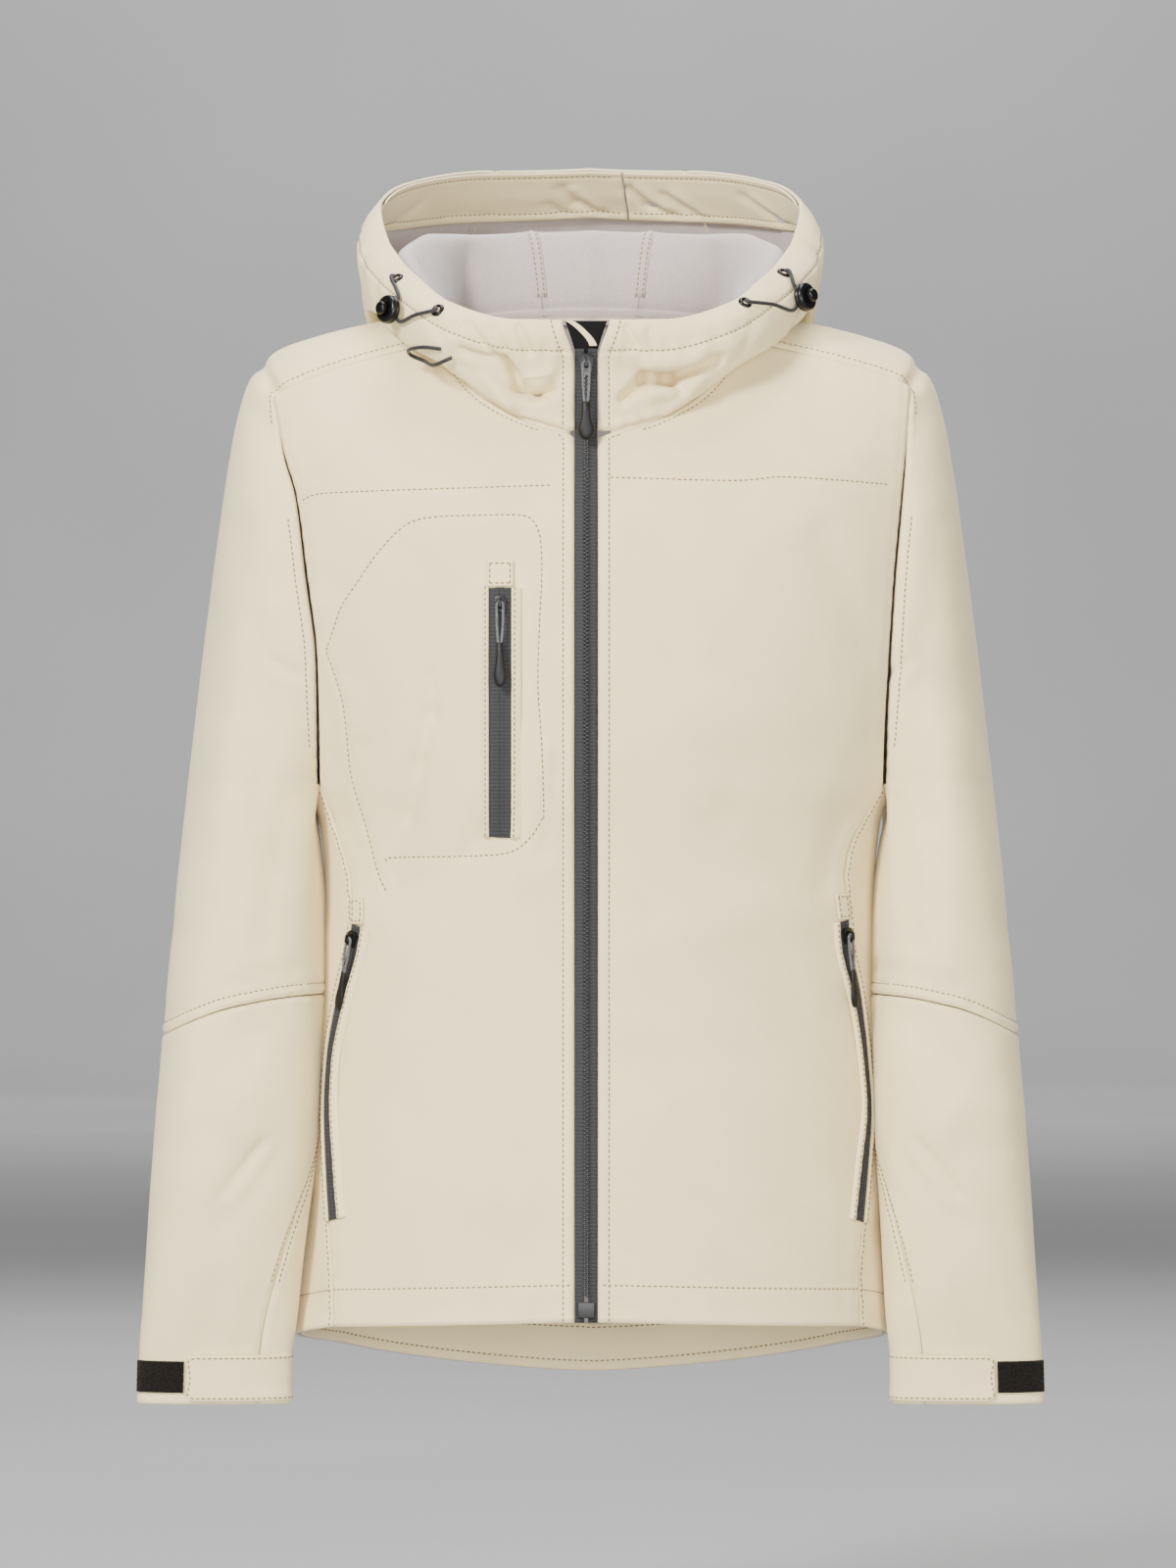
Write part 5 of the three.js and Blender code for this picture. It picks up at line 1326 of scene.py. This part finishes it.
def bevelled(source, name, width, finish, body="root", slot="moulded_black"):
    """A solid's own form with its edges rounded, as the moulded piece has them."""
    piece = bpy.data.objects.new(name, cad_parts[source].data.copy())
    bpy.context.scene.collection.objects.link(piece)
    piece.data.materials.clear()
    bpy.context.view_layer.objects.active = piece
    weld = piece.modifiers.new("weld", "WELD")
    weld.merge_threshold = 0.00002
    edge = piece.modifiers.new("edge", "BEVEL")
    edge.width = width / 1000
    edge.segments = 3
    edge.limit_method = "ANGLE"
    edge.angle_limit = math.radians(25)
    edge.harden_normals = False
    for modifier in (weld, edge):
        with bpy.context.temp_override(object=piece, active_object=piece, selected_objects=[piece]):
            bpy.ops.object.modifier_apply(modifier=modifier.name)
    piece.data.shade_smooth()
    return dress(piece, finish, body=body, nodes=[source], slot=slot)


def front_at(x, z):
    side = "right" if x < 0 else "left"
    return body_point(turn_at(side, abs(x), z), z)


def zip_strip(name, centre, normals, half, node_name):
    """A pocket's zip: tape with two ribs of coil down its middle, inside a folded welt of cloth."""
    gone = np.concatenate([[0], np.cumsum(np.linalg.norm(np.diff(centre, axis=0), axis=1))])
    count = int(gone[-1] / 1.1)
    place, facing, along = resample(centre, normals, gone[-1] / count)
    across = unit(np.cross(along, facing))
    coil = [(0.35, 0.85), (1.4, 1.15), (2.5, 0.75), (3.2, 0.15), (half * 0.7, 0.15), (half, 0.0)]
    profile = [(-a, h) for a, h in reversed(coil)] + [(0, 0.35)] + coil
    notch = 0.32 * np.where(np.arange(count) % 2, 1, -1)
    notch = notch[:len(place), None]
    net = np.stack([place + across * a + facing * (0.95 + h + notch * (h > 0.5)) for a, h in profile], 1)
    cloth = Cloth(1 if (net_normals(net) * facing[:, None]).sum() > 0 else -1)
    cloth.net(net)
    piece = cloth.wall(name, 0.8)
    dress(piece, MATERIALS["tape"], nodes=[node_name], slot="zip_tape")
    # The welt: the cloth's own folded edge on each side of the zip and below it.
    fold = [(0.0, 0.6), (0.2, 1.9), (0.9, 2.5), (2.2, 2.3), (3.6, 1.6), (5.2, 0.7), (7.0, -0.3)]
    for label, sign in (("inner", -1), ("outer", 1)):
        last = 7.0 if sign > 0 else 4.4
        net = np.stack([place + across * sign * (half - 0.4 + min(a, last)) + facing * h for a, h in fold], 1)
        cloth = Cloth(1 if (net_normals(net) * facing[:, None]).sum() > 0 else -1)
        cloth.net(net, 0.15 * pucker(gone[-1] * np.linspace(0, 1, len(place))[:, None], 11) * np.array(
            [0, 0.4, 1, 1, 1, 1, 0])[None])
        piece = cloth.wall(f"{name}_welt_{label}", 0.7)
        dress(piece, MATERIALS["face"])
        stitch(cloth.outer.reshape(net.shape)[:, 3], cloth.normals.reshape(net.shape)[:, 3])


def garage(name, place, facing, node_name):
    """The cloth garage that covers the top of a pocket's zip, stitched near its edges."""
    rise = 0.4 * bell(arcs(place, 0)[0] - 2, 2)
    piece, spots, normals, cloth = laid(name, place, 1.4, 0.9, [MATERIALS["face"]], rise, facing,
                                        nodes=[node_name])
    for edge in ("start", "end", "bottom", "top"):
        stitch(*inset(spots, normals, edge, 2.0, 0.1, 0.9))


CHEST_ZIP = {"x": -57.5, "low": -313, "high": -153}
POCKETS = {"right": (-560, -369, 7, -378), "left": (-561, -366, 7, -376)}
GARAGE = 17


def side_spot(side, z, out):
    edge = turn_at(side, FRONT_EDGE(side, z), z)
    return body_point(edge - SIGN[side] * np.degrees(out / 118), z)


def line_facing(make, z):
    """The way the cloth faces along a line, from the same line a little to each side."""
    across = make(z, 1.0) - make(z, -1.0)
    up = make(z + 1, 0.0) - make(z - 1, 0.0)
    facing = unit(np.cross(across, up))
    return np.where((facing[:, 1] > 0)[:, None], -facing, facing)


def build_pockets():
    x, low, high = CHEST_ZIP["x"], CHEST_ZIP["low"], CHEST_ZIP["high"]

    def chest(z, out):
        return front_at(x + out, z)

    z = np.linspace(low, high, 160)
    zip_strip("chest_zip_tape", chest(z, 0.0), line_facing(chest, z), 7.6, "chest_zip")
    rows = np.linspace(high + SEAM, high + GARAGE, 18)
    net = np.stack([chest(rows, out) for out in np.linspace(-8.4, 8.4, 16)], 1)
    garage("chest_garage", net, (0, -1, 0), "chest_zip_garage")
    for side in SIDES:
        low, high, middle, _ = POCKETS[side]

        def edge(z, out, side=side, middle=middle):
            return side_spot(side, z, middle + out)

        z = np.linspace(low, high, 190)
        zip_strip(f"pocket_zip_tape_{side}", edge(z, 0.0), line_facing(edge, z), middle - 1.7,
                  f"pocket_zip_{side}")
        rows = np.linspace(high + SEAM, high + GARAGE, 18)
        net = np.stack([edge(rows, out) for out in np.linspace(1.5 - middle, middle - 1.5, 14)], 1)
        outward = (SIGN[side] * 0.7, -0.7, 0)
        garage(f"pocket_garage_cloth_{side}", net, outward, f"pocket_garage_{side}")


def rounded_net(make, start, stop, low, high, count, radius, round_start):
    """A net across a strip whose one end has round corners; make gives a place by position and level."""
    share = np.linspace(0, 1, count)
    middle, half = (low + high) / 2, (high - low) / 2
    length = abs(stop - start)
    gone = share * length if round_start else (1 - share) * length
    drop = np.where(gone < radius, radius - np.sqrt(np.maximum(radius ** 2 - (radius - gone) ** 2, 0)), 0)
    levels = middle + np.linspace(-1, 1, 19)[:, None] * (half - drop)[None]
    return make(mix(start, stop, share)[None] + 0 * levels, levels)


def build_cuffs():
    for side in SIDES:
        around = 46.0 * math.pi / 180

        def make(arc, z, side=side):
            return arm_point(side, arc / around, z)

        net = rounded_net(make, -73 * around, -186 * around, -677.2, -646.7, 90, 5.0, True)
        edge = 0.5 * bell(arcs(net, 0)[0] - 3, 3)
        piece, place, facing, cloth = laid(f"tab_{side}", net, 1.6, 0.8, [MATERIALS["face"]], edge,
                                           nodes=[f"cuff_tab_{side}"])
        for label in ("bottom", "top", "start"):
            stitch(*inset(place, facing, label, 2.2, 0.03, 0.97))
        net = rounded_net(make, -70.5 * around, -12 * around, -671.5, -651, 50, 0.5, False)
        relief = 0.12 * np.sin(np.arange(50) * 2.1)[None] * np.cos(np.arange(19) * 1.9)[:, None]
        piece, place, facing, cloth = laid(f"loop_patch_{side}", net, 1.1, 0.8, [MATERIALS["pile"]], relief,
                                           nodes=[f"cuff_patch_{side}"], slot="hook_and_loop")


def lathe(name, profile, place, facing, finish, nodes, sides=40, body="root"):
    """A round moulded piece turned about the way it faces, from radii and heights."""
    z = unit(np.asarray(facing, float))
    x = unit(np.cross([0, 0, 1], z))
    y = np.cross(z, x)
    turns = np.linspace(0, 2 * math.pi, sides, endpoint=False)
    circle = np.cos(turns)[:, None] * x + np.sin(turns)[:, None] * y
    net = np.stack([np.asarray(place) + radius * circle + z * height for radius, height in profile])
    cloth = Cloth(1)
    cloth.net(net, closed=True)
    points, cells = np.concatenate(cloth.points), np.concatenate(cloth.cells)
    piece = add_mesh(name, points, cells)
    return dress(piece, finish, nodes=nodes, slot="moulded_black", body=body)


# Places on the hood, by turn and level.
EYELETS = {
    "right_upper": (-67, 5.35),
    "right_lower": (-47, 5.25),
    "left_upper": (69, 5.5),
    "left_lower": (49, 5.5),
}
LOCKS = {"right": (-61, 4.3), "left": (67, 4.45)}


def curve_piece(name, points, radius, smooth=8):
    """A cord as one open spline through the points, in millimetres."""
    data = bpy.data.curves.new(name, "CURVE")
    data.dimensions = "3D"
    line = data.splines.new("POLY")
    points = spline_points(np.asarray(points, float), smooth)
    line.points.add(len(points) - 1)
    for spot, p in zip(line.points, points):
        spot.co = (*(p / 1000), 1)
    data.bevel_depth = radius / 1000
    data.bevel_resolution = 4
    data.use_fill_caps = True
    piece = bpy.data.objects.new(name, data)
    bpy.context.scene.collection.objects.link(piece)
    return piece, points


def spline_points(points, steps):
    """A smooth line through points, closer together where they are."""
    p = np.concatenate([2 * points[:1] - points[1:2], points, 2 * points[-1:] - points[-2:-1]])
    out = []
    for i in range(1, len(p) - 2):
        u = np.linspace(0, 1, steps, endpoint=False)[:, None]
        p0, p1, p2, p3 = p[i - 1:i + 3]
        out.append(0.5 * (2 * p1 + (p2 - p0) * u + (2 * p0 - 5 * p1 + 4 * p2 - p3) * u * u
                          + (3 * p1 - p0 - 3 * p2 + p3) * u ** 3))
    return np.concatenate(out + [points[-1:]])


# The end of the elastic that shows below the hood's edge, by turn, level and height off the hood.
ELASTIC_END = [(-45, 3.7, 0.6), (-50, 3.6, 3.2), (-56, 3.25, 4.0), (-57.5, 2.95, 4.2), (-54, 2.75, 4.2),
               (-49, 2.95, 4.0), (-44.5, 3.3, 3.0), (-42.5, 3.45, 0.8)]
ELASTIC_RADIUS = 1.3


def cord_route(side):
    """From the upper eyelet through the lock to the lower eyelet."""
    upper, lower = EYELETS[f"{side}_upper"], EYELETS[f"{side}_lower"]
    turn, level = LOCKS[side]
    return [
        (*upper, 2.9),
        (upper[0], upper[1] - 0.14, 4.2),
        (turn, level + 0.55, 3.0),
        (turn, level + 0.05, 2.6),
        (mix(turn, lower[0], 0.2), level - 0.25, 3.0),
        (mix(turn, lower[0], 0.6), mix(level, lower[1], 0.3), 3.6),
        (lower[0], lower[1] - 0.15, 4.2),
        (*lower, 2.9),
    ]


def build_drawcords():
    routes = [(f"elastic_cord_{side}", f"drawcord_{side}", cord_route(side)) for side in SIDES]
    routes.append(("elastic_cord_end", "elastic_end", ELASTIC_END))
    for name, source, steps in routes:
        route = np.array([hood.spot(*step)[0] for step in steps])
        piece, points = curve_piece(name, route, ELASTIC_RADIUS)
        dress(piece, MATERIALS["elastic"], nodes=[source], slot="drawcord")


def build_fittings():
    ring = [(0.01, -0.3), (1.8, -0.3), (1.9, 0.6), (2.1, 1.2), (2.6, 1.65), (3.3, 1.6), (4.1, 1.1),
            (4.6, 0.4), (4.7, 0.0), (4.4, -0.6)]
    for name, (turn, level) in EYELETS.items():
        place, facing = hood.spot(turn, level, 0.5)
        lathe(f"ring_{name}", ring, place, facing, MATERIALS["hard"], [f"eyelet_{name}"])
    barrel = [(0.01, 0.0), (7.6, 0.0), (8.8, 0.5), (9.3, 1.5), (9.3, 2.4), (8.9, 2.8), (8.9, 3.6), (9.3, 4.0),
              (9.2, 5.0), (8.6, 6.1), (7.4, 6.6), (5.4, 6.6), (5.0, 6.2), (0.01, 6.2)]
    button = [(0.01, 0.0), (4.0, 0.0), (4.2, 0.6), (4.2, 3.0), (3.8, 3.9), (2.6, 4.2), (1.8, 3.9),
              (0.01, 3.8)]
    for side, (turn, level) in LOCKS.items():
        place, facing = hood.spot(turn, level, 4.4)
        lathe(f"lock_barrel_{side}", barrel, place, facing, MATERIALS["hard"], [f"cord_lock_{side}"], 56)
        place = place + facing * 6.9
        lathe(f"lock_button_{side}", button, place, facing, MATERIALS["hard"], [f"cord_plunger_{side}"])


PULLS = {
    "chest": ("chest", 23, 28, 8.6),
    "pocket_right": ("pocket_right", 20, 25, 7),
    "pocket_left": ("pocket_left", 20, 25, 7),
    "front": ("front", 23, 24, 11),
}


# The pulls' moulded ends: share of the way down, width and depth.
GRIP = [
    (0.0, 0.18, 0.1), (0.0, 0.42, 0.28), (0.02, 0.52, 0.36), (0.3, 0.56, 0.4), (0.5, 0.72, 0.44),
    (0.66, 0.94, 0.49), (0.74, 1.0, 0.5), (0.84, 0.94, 0.48), (0.93, 0.76, 0.42), (0.98, 0.52, 0.33),
    (1.0, 0.3, 0.2), (1.0, 0.05, 0.04),
]


def slider_frame(label):
    """Place and directions of a slider: across, up the zip and outwards."""
    if label == "front":
        across, up, out = np.array([[1, 0, 0], [0, 0, 1], [0, -1, 0]])
        return np.array([ZIP_X, -102.3, SLIDER_Z]), across, up, out
    if label == "chest":
        x, z = CHEST_ZIP["x"] + 0.5, -164
        across = front_at(x + 4, z) - front_at(x - 4, z)
        up = front_at(x, z + 6) - front_at(x, z - 6)
        place = front_at(x, z)
    else:
        side = label.split("_")[1]
        _, _, middle, z = POCKETS[side]
        across = (side_spot(side, z, middle - 4) - side_spot(side, z, middle + 4)) * SIGN[side]
        up = side_spot(side, z + 6, middle) - side_spot(side, z - 6, middle)
        place = side_spot(side, z, middle)
    out = unit(np.cross(across, up))
    right = unit(np.cross(up, out))
    return place + out * 2.5, right, np.cross(out, right), out


def build_pulls():
    for label, (name, length, end_length, end_wide) in PULLS.items():
        origin, right, up, out = slider_frame(label)
        body = f"pull_{label}"

        def at(x, y, z, origin=origin, right=right, up=up, out=out):
            return origin + right * x + up * y + out * z

        middle = 2.2 + 0.45 + 0.85
        half = 1.15 + 0.85
        top = -1.25
        bottom = -length - 1.7 - 1.2
        leg = ((0.45, bottom), (0.6, bottom + 3), (0.95, -length * 0.6), (1, -length * 0.3), (1, top))
        left_leg = [at(-half * share, y, middle) for share, y in leg]
        bow = np.radians([150, 120, 90, 60, 30])
        arch = [at(half * math.cos(a), top + half * math.sin(a), middle) for a in bow]
        right_leg = [at(half * share, y, middle) for share, y in reversed(leg)]
        piece, points = curve_piece(f"loop_{name}", left_leg + arch + right_leg, 0.85, 6)
        dress(piece, MATERIALS["cord"], body=body, nodes=[f"pull_cord_{label}"], slot="pull_cord")
        start = -length - 1.7 - 0.3
        turns = np.linspace(0, 2 * math.pi, 28, endpoint=False)
        rings = []
        for u, wide, deep in GRIP:
            x = end_wide / 2 * wide * np.cos(turns)
            z = middle + end_wide / 2 * deep * np.sin(turns)
            rings.append([at(a, start - u * end_length, b) for a, b in zip(x, z)])
        cloth = Cloth(1)
        cloth.net(np.array(rings), closed=True)
        piece = add_mesh(f"grip_{name}", np.concatenate(cloth.points), np.concatenate(cloth.cells))
        dress(piece, MATERIALS["grip"], body=body, nodes=[f"pull_end_{label}"], slot="moulded_black")
    for source in ("zip_slider", "chest_slider", "pocket_slider_right", "pocket_slider_left"):
        bevelled(source, source.replace("slider", "runner"), 0.3, MATERIALS["slider"])


def build_stitching():
    """Sews every noted row: one small rounded stitch after another, in three meshes by place."""
    sizes = bpy.context.scene.jacket_sizes
    pitch, length, width = (1000 * size for size in (sizes.pitch, sizes.length, sizes.width))
    if not STITCHES:
        raise RuntimeError("no rows of stitches are noted yet: the cloth is built first")
    groups = {"front": [], "sleeves": [], "rest": []}
    for line, normals in STITCHES:
        key = "sleeves" if abs(line[:, 0]).mean() > 196 else "front" if line[:, 1].mean() < -20 else "rest"
        groups[key].append(resample(line, normals, pitch))
    shape = np.array([[0, -0.5, 0.1], [0.5, -0.25, 0.15], [0, -0.3, 0.75], [-0.5, -0.25, 0.15],
                      [0.5, 0.25, 0.15], [0, 0.3, 0.75], [-0.5, 0.25, 0.15], [0, 0.5, 0.1]])
    triangles = np.array([[0, 1, 2], [0, 2, 3], [1, 4, 5], [1, 5, 2], [2, 5, 6], [2, 6, 3], [7, 5, 4],
                          [7, 6, 5]])
    for key, rows in groups.items():
        place, facing, along = (np.concatenate([row[k] for row in rows]) for k in range(3))
        across = unit(np.cross(along, facing))
        points = (place[:, None] + across[:, None] * shape[None, :, :1] * width + along[:, None]
                  * shape[None, :, 1:2] * length + facing[:, None] * (shape[None, :, 2:] * width - 0.12))
        count = len(place)
        cells = (triangles[None] + (np.arange(count) * len(shape))[:, None, None]).reshape(-1, 3)
        # The thread's dark colour puts the stitches' small shadows in as painted shade.
        dress(add_mesh(f"topstitching_{key}", points.reshape(-1, 3), cells), MATERIALS["thread"])


def line_on(side, line):
    """A drawn line set on the front panel, with the way the cloth faces."""
    place, _ = made["fronts"]["front", side]
    rows, columns = place.shape[:2]
    cells = [[i * columns + j, i * columns + j + 1, (i + 1) * columns + j + 1, (i + 1) * columns + j]
             for i in range(rows - 1) for j in range(columns - 1)]
    key = f"tree_{side}"
    if key not in made:
        made[key] = BVHTree.FromPolygons([Vector(p) for p in place.reshape(-1, 3)], cells)
    spots, ways = [], []
    for x, z in spline_points(np.array(line, float), 10):
        hit, normal, _, _ = made[key].ray_cast(Vector((x, -400, z)), Vector((0, 1, 0)))
        if hit is not None:
            spots.append(list(hit))
            ways.append(list(normal if normal.y < 0 else -normal))
    return np.array(spots), np.array(ways)


def build_stage():
    """A pale floor that sweeps up behind, soft lights, and the even light all round."""
    floor = -0.86
    arc = [(math.sin(a), 1 - math.cos(a)) for a in np.linspace(0, math.pi / 2, 16)]
    profile = [(-12.0, 0.0), (9.8, 0.0)] + [(9.8 + 1.5 * s, 1.5 * c) for s, c in arc[1:]] + [(11.3, 10.0)]
    points = [[x * 1000, y * 1000, (floor + h) * 1000] for y, h in profile for x in (-16.0, 16.0)]
    faces = [[2 * i, 2 * i + 1, 2 * i + 3, 2 * i + 2] for i in range(len(profile) - 1)]
    sweep = add_mesh("studio_floor", points, faces)
    sweep.data.materials.append(MATERIALS["floor"])
    lights = bpy.context.scene.jacket_lights
    for name, place, size, power, target in (
            ("key_light", (-2.5, -3.7, 2.3), 1.3, lights.key, (0, 0, -0.3)),
            ("fill_light", (2.8, -3.8, 0.6), 2.2, lights.fill, (0, 0, -0.35)),
            ("top_light", (0.2, 0.2, 3.4), 2.2, lights.top, (0, 0, -0.2)),
            ("low_light", (0.0, -3.6, -0.5), 1.6, lights.low, (0, 0, -0.4)),
            ("back_light", (0.0, 3.0, 1.6), 2.6, lights.back, (0, 0, -0.3)),
            ("backdrop_light", (0.0, 8.0, 3.2), 3.0, lights.backdrop, (0, 11.3, 0.0))):
        lamp = bpy.data.lights.new(name, "AREA")
        lamp.shape = "DISK"
        lamp.size = size
        lamp.energy = power
        piece = bpy.data.objects.new(name, lamp)
        piece.location = place
        piece.rotation_euler = (Vector(target) - Vector(place)).to_track_quat("-Z", "Y").to_euler()
        bpy.context.scene.collection.objects.link(piece)
    world = bpy.data.worlds.new("studio")
    world.use_nodes = True
    world.node_tree.nodes["Background"].inputs["Color"].default_value = linear("#d8d8d8")
    world.node_tree.nodes["Background"].inputs["Strength"].default_value = lights.sky
    bpy.context.scene.world = world


def build_camera():
    data = bpy.data.cameras.new("front_view")
    data.sensor_fit = "VERTICAL"
    data.sensor_height = 36
    data.sensor_width = 27
    data.lens = 18 / (0.512 / 5.0)
    piece = bpy.data.objects.new("front_view", data)
    piece.location = (-0.0016, -5.0, -0.2784)
    piece.rotation_euler = (math.pi / 2, 0, 0)
    bpy.context.scene.collection.objects.link(piece)
    bpy.context.scene.camera = piece


def studio_paint():
    """Matt studio paint on the floor and its sweep: pale, even and without gloss."""
    new, tree, shader = material("matt_studio_paint", 0.95)
    place = node(tree, "ShaderNodeTexCoord").outputs["Object"]
    mottle = node(tree, "ShaderNodeTexNoise", [(place, "Vector")], Scale=per_mm(900))
    two_tones(tree, shader, mottle.outputs["Fac"], linear("#989898"), linear("#9e9e9e"))
    return new


def make_materials():
    MATERIALS["face"] = softshell_face()
    MATERIALS["fleece"] = fleece_back()
    MATERIALS["tape"] = zip_tape_cloth()
    MATERIALS["tooth"] = moulded_plastic("moulded_zip_teeth", 0.45, "tape")
    MATERIALS["hard"] = moulded_plastic("moulded_acetal", 0.32)
    MATERIALS["grip"] = moulded_plastic("moulded_rubbery_grip", 0.5)
    MATERIALS["slider"] = moulded_plastic("enamelled_zinc", 0.35)
    MATERIALS["cord"] = braided_cord("braided_polyester_cord", "cord", 0.75)
    MATERIALS["elastic"] = braided_cord("covered_elastic_cord", "elastic", 0.6)
    MATERIALS["pile"] = hook_pile()
    MATERIALS["guard"] = brushed_knit()
    MATERIALS["thread"] = thread()
    MATERIALS["floor"] = studio_paint()


def sew_front_rows():
    """Notes the drawn rows of the fronts: across the chest and round the pocket bag."""
    for side, line in (("right", CHEST_ROWS[0]), ("left", CHEST_ROWS[1]), ("right", POCKET_BAG),
                       ("right", POCKET_BAG_SIDE)):
        stitch(*line_on(side, line))


def finished(*names):
    """Ends an operator; raises an error where a piece that it should have built is missing."""
    missing = [name for name in names if name not in made]
    if missing:
        raise RuntimeError("not built: " + ", ".join(missing))
    return {"FINISHED"}


def need_materials():
    if not MATERIALS:
        raise RuntimeError("the materials are made first")


class JACKET_OT_materials(bpy.types.Operator):
    """Make the materials of the cloths, trims and floor"""
    bl_idname = "jacket.materials"
    bl_label = "Materials"

    def execute(self, context):
        make_materials()
        return {"FINISHED"}


class JACKET_OT_camera(bpy.types.Operator):
    """Set the camera where the photograph was taken from"""
    bl_idname = "jacket.camera"
    bl_label = "Camera"

    def execute(self, context):
        build_camera()
        return {"FINISHED"}


class JACKET_OT_drawcords(bpy.types.Operator):
    """Thread the hood's elastic cords through their eyelets and locks"""
    bl_idname = "jacket.drawcords"
    bl_label = "Drawcords"

    def execute(self, context):
        need_materials()
        build_drawcords()
        return finished("elastic_cord_right", "elastic_cord_left", "elastic_cord_end")


class JACKET_OT_body(bpy.types.Operator):
    """Cut the front, side and back panels of the body"""
    bl_idname = "jacket.body"
    bl_label = "Body panels"

    def execute(self, context):
        need_materials()
        made["fronts"] = build_body_panels()
        return finished("panel_front_right", "panel_front_left", "panel_back")


class JACKET_OT_sleeves(bpy.types.Operator):
    """Cut both sleeves: the shoulder and upper arm, the lower arm and its under piece"""
    bl_idname = "jacket.sleeves"
    bl_label = "Sleeves"

    def execute(self, context):
        need_materials()
        for side in SIDES:
            build_upper_sleeve(side)
            build_lower_sleeve(side)
        return finished("sleeve_top_right", "sleeve_top_left")


class JACKET_OT_hood(bpy.types.Operator):
    """Lay the lowered hood round the neck"""
    bl_idname = "jacket.hood"
    bl_label = "Hood"

    def execute(self, context):
        need_materials()
        build_hood()
        return finished("hood_side_right", "hood_side_left", "hood_centre")


class JACKET_OT_facings(bpy.types.Operator):
    """Add the hood's band, the back hem's facing and the felled seams"""
    bl_idname = "jacket.facings"
    bl_label = "Facings"

    def execute(self, context):
        need_materials()
        build_facings()
        return finished("band_right", "band_left", "hem_facing")


class JACKET_OT_front_zip(bpy.types.Operator):
    """Set the front zip's tapes, teeth and box, and the chin guard"""
    bl_idname = "jacket.front_zip"
    bl_label = "Front zip"

    def execute(self, context):
        need_materials()
        build_front_zip()
        return finished("zip_teeth", "guard_knit")


class JACKET_OT_pockets(bpy.types.Operator):
    """Set the zips, welts and garages of the three pockets"""
    bl_idname = "jacket.pockets"
    bl_label = "Pockets"

    def execute(self, context):
        need_materials()
        build_pockets()
        return finished("chest_zip_tape", "pocket_zip_tape_right", "pocket_zip_tape_left")


class JACKET_OT_cuffs(bpy.types.Operator):
    """Close the cuffs with their tabs and loop patches"""
    bl_idname = "jacket.cuffs"
    bl_label = "Cuffs"

    def execute(self, context):
        need_materials()
        build_cuffs()
        return finished("tab_right", "tab_left")


class JACKET_OT_fittings(bpy.types.Operator):
    """Turn the hood's eyelets and cord locks"""
    bl_idname = "jacket.fittings"
    bl_label = "Eyelets and locks"

    def execute(self, context):
        need_materials()
        build_fittings()
        return finished("lock_barrel_right", "lock_barrel_left")


class JACKET_OT_pulls(bpy.types.Operator):
    """Hang the pulls from the four sliders"""
    bl_idname = "jacket.pulls"
    bl_label = "Zip pulls"

    def execute(self, context):
        need_materials()
        build_pulls()
        return finished("grip_front", "grip_chest")


class JACKET_OT_stitching(bpy.types.Operator):
    """Sew the rows of stitches on the finished cloth"""
    bl_idname = "jacket.stitching"
    bl_label = "Stitching"

    def execute(self, context):
        need_materials()
        sew_front_rows()
        build_stitching()
        return finished("topstitching_front")


class JACKET_OT_stage(bpy.types.Operator):
    """Set the floor, the lights and the surround"""
    bl_idname = "jacket.stage"
    bl_label = "Stage"

    def execute(self, context):
        need_materials()
        build_stage()
        return {"FINISHED"}


STEPS = (JACKET_OT_materials, JACKET_OT_camera, JACKET_OT_drawcords, JACKET_OT_body, JACKET_OT_sleeves,
         JACKET_OT_hood, JACKET_OT_facings, JACKET_OT_front_zip, JACKET_OT_pockets, JACKET_OT_cuffs,
         JACKET_OT_fittings, JACKET_OT_pulls, JACKET_OT_stitching, JACKET_OT_stage)


class JACKET_PT_panel(bpy.types.Panel):
    """The jacket's settings and steps"""
    bl_idname = "JACKET_PT_panel"
    bl_label = "Jacket"
    bl_space_type = "VIEW_3D"
    bl_region_type = "UI"
    bl_category = "Jacket"

    def draw(self, context):
        layout = self.layout
        for group in GROUPS:
            settings = getattr(context.scene, group)
            column = layout.column()
            for name in settings.__annotations__:
                column.prop(settings, name)
        for step in STEPS:
            layout.operator(step.bl_idname)


GROUPS = {"jacket_colours": JacketColours, "jacket_sizes": JacketSizes, "jacket_lights": JacketLights}


def register():
    for name, kind in GROUPS.items():
        bpy.utils.register_class(kind)
        setattr(bpy.types.Scene, name, PointerProperty(type=kind))
    for kind in (*STEPS, JACKET_PT_panel):
        bpy.utils.register_class(kind)


def unregister():
    for kind in (JACKET_PT_panel, *reversed(STEPS)):
        bpy.utils.unregister_class(kind)
    for name, kind in GROUPS.items():
        delattr(bpy.types.Scene, name)
        bpy.utils.unregister_class(kind)


def main():
    """Builds the whole jacket and its stage."""
    register()
    bpy.ops.jacket.materials()
    bpy.ops.jacket.camera()
    bpy.ops.jacket.drawcords()
    bpy.ops.jacket.body()
    bpy.ops.jacket.sleeves()
    bpy.ops.jacket.hood()
    bpy.ops.jacket.facings()
    bpy.ops.jacket.front_zip()
    bpy.ops.jacket.pockets()
    bpy.ops.jacket.cuffs()
    bpy.ops.jacket.fittings()
    bpy.ops.jacket.pulls()
    bpy.ops.jacket.stitching()
    bpy.ops.jacket.stage()


if __name__ == "__main__":
    main()
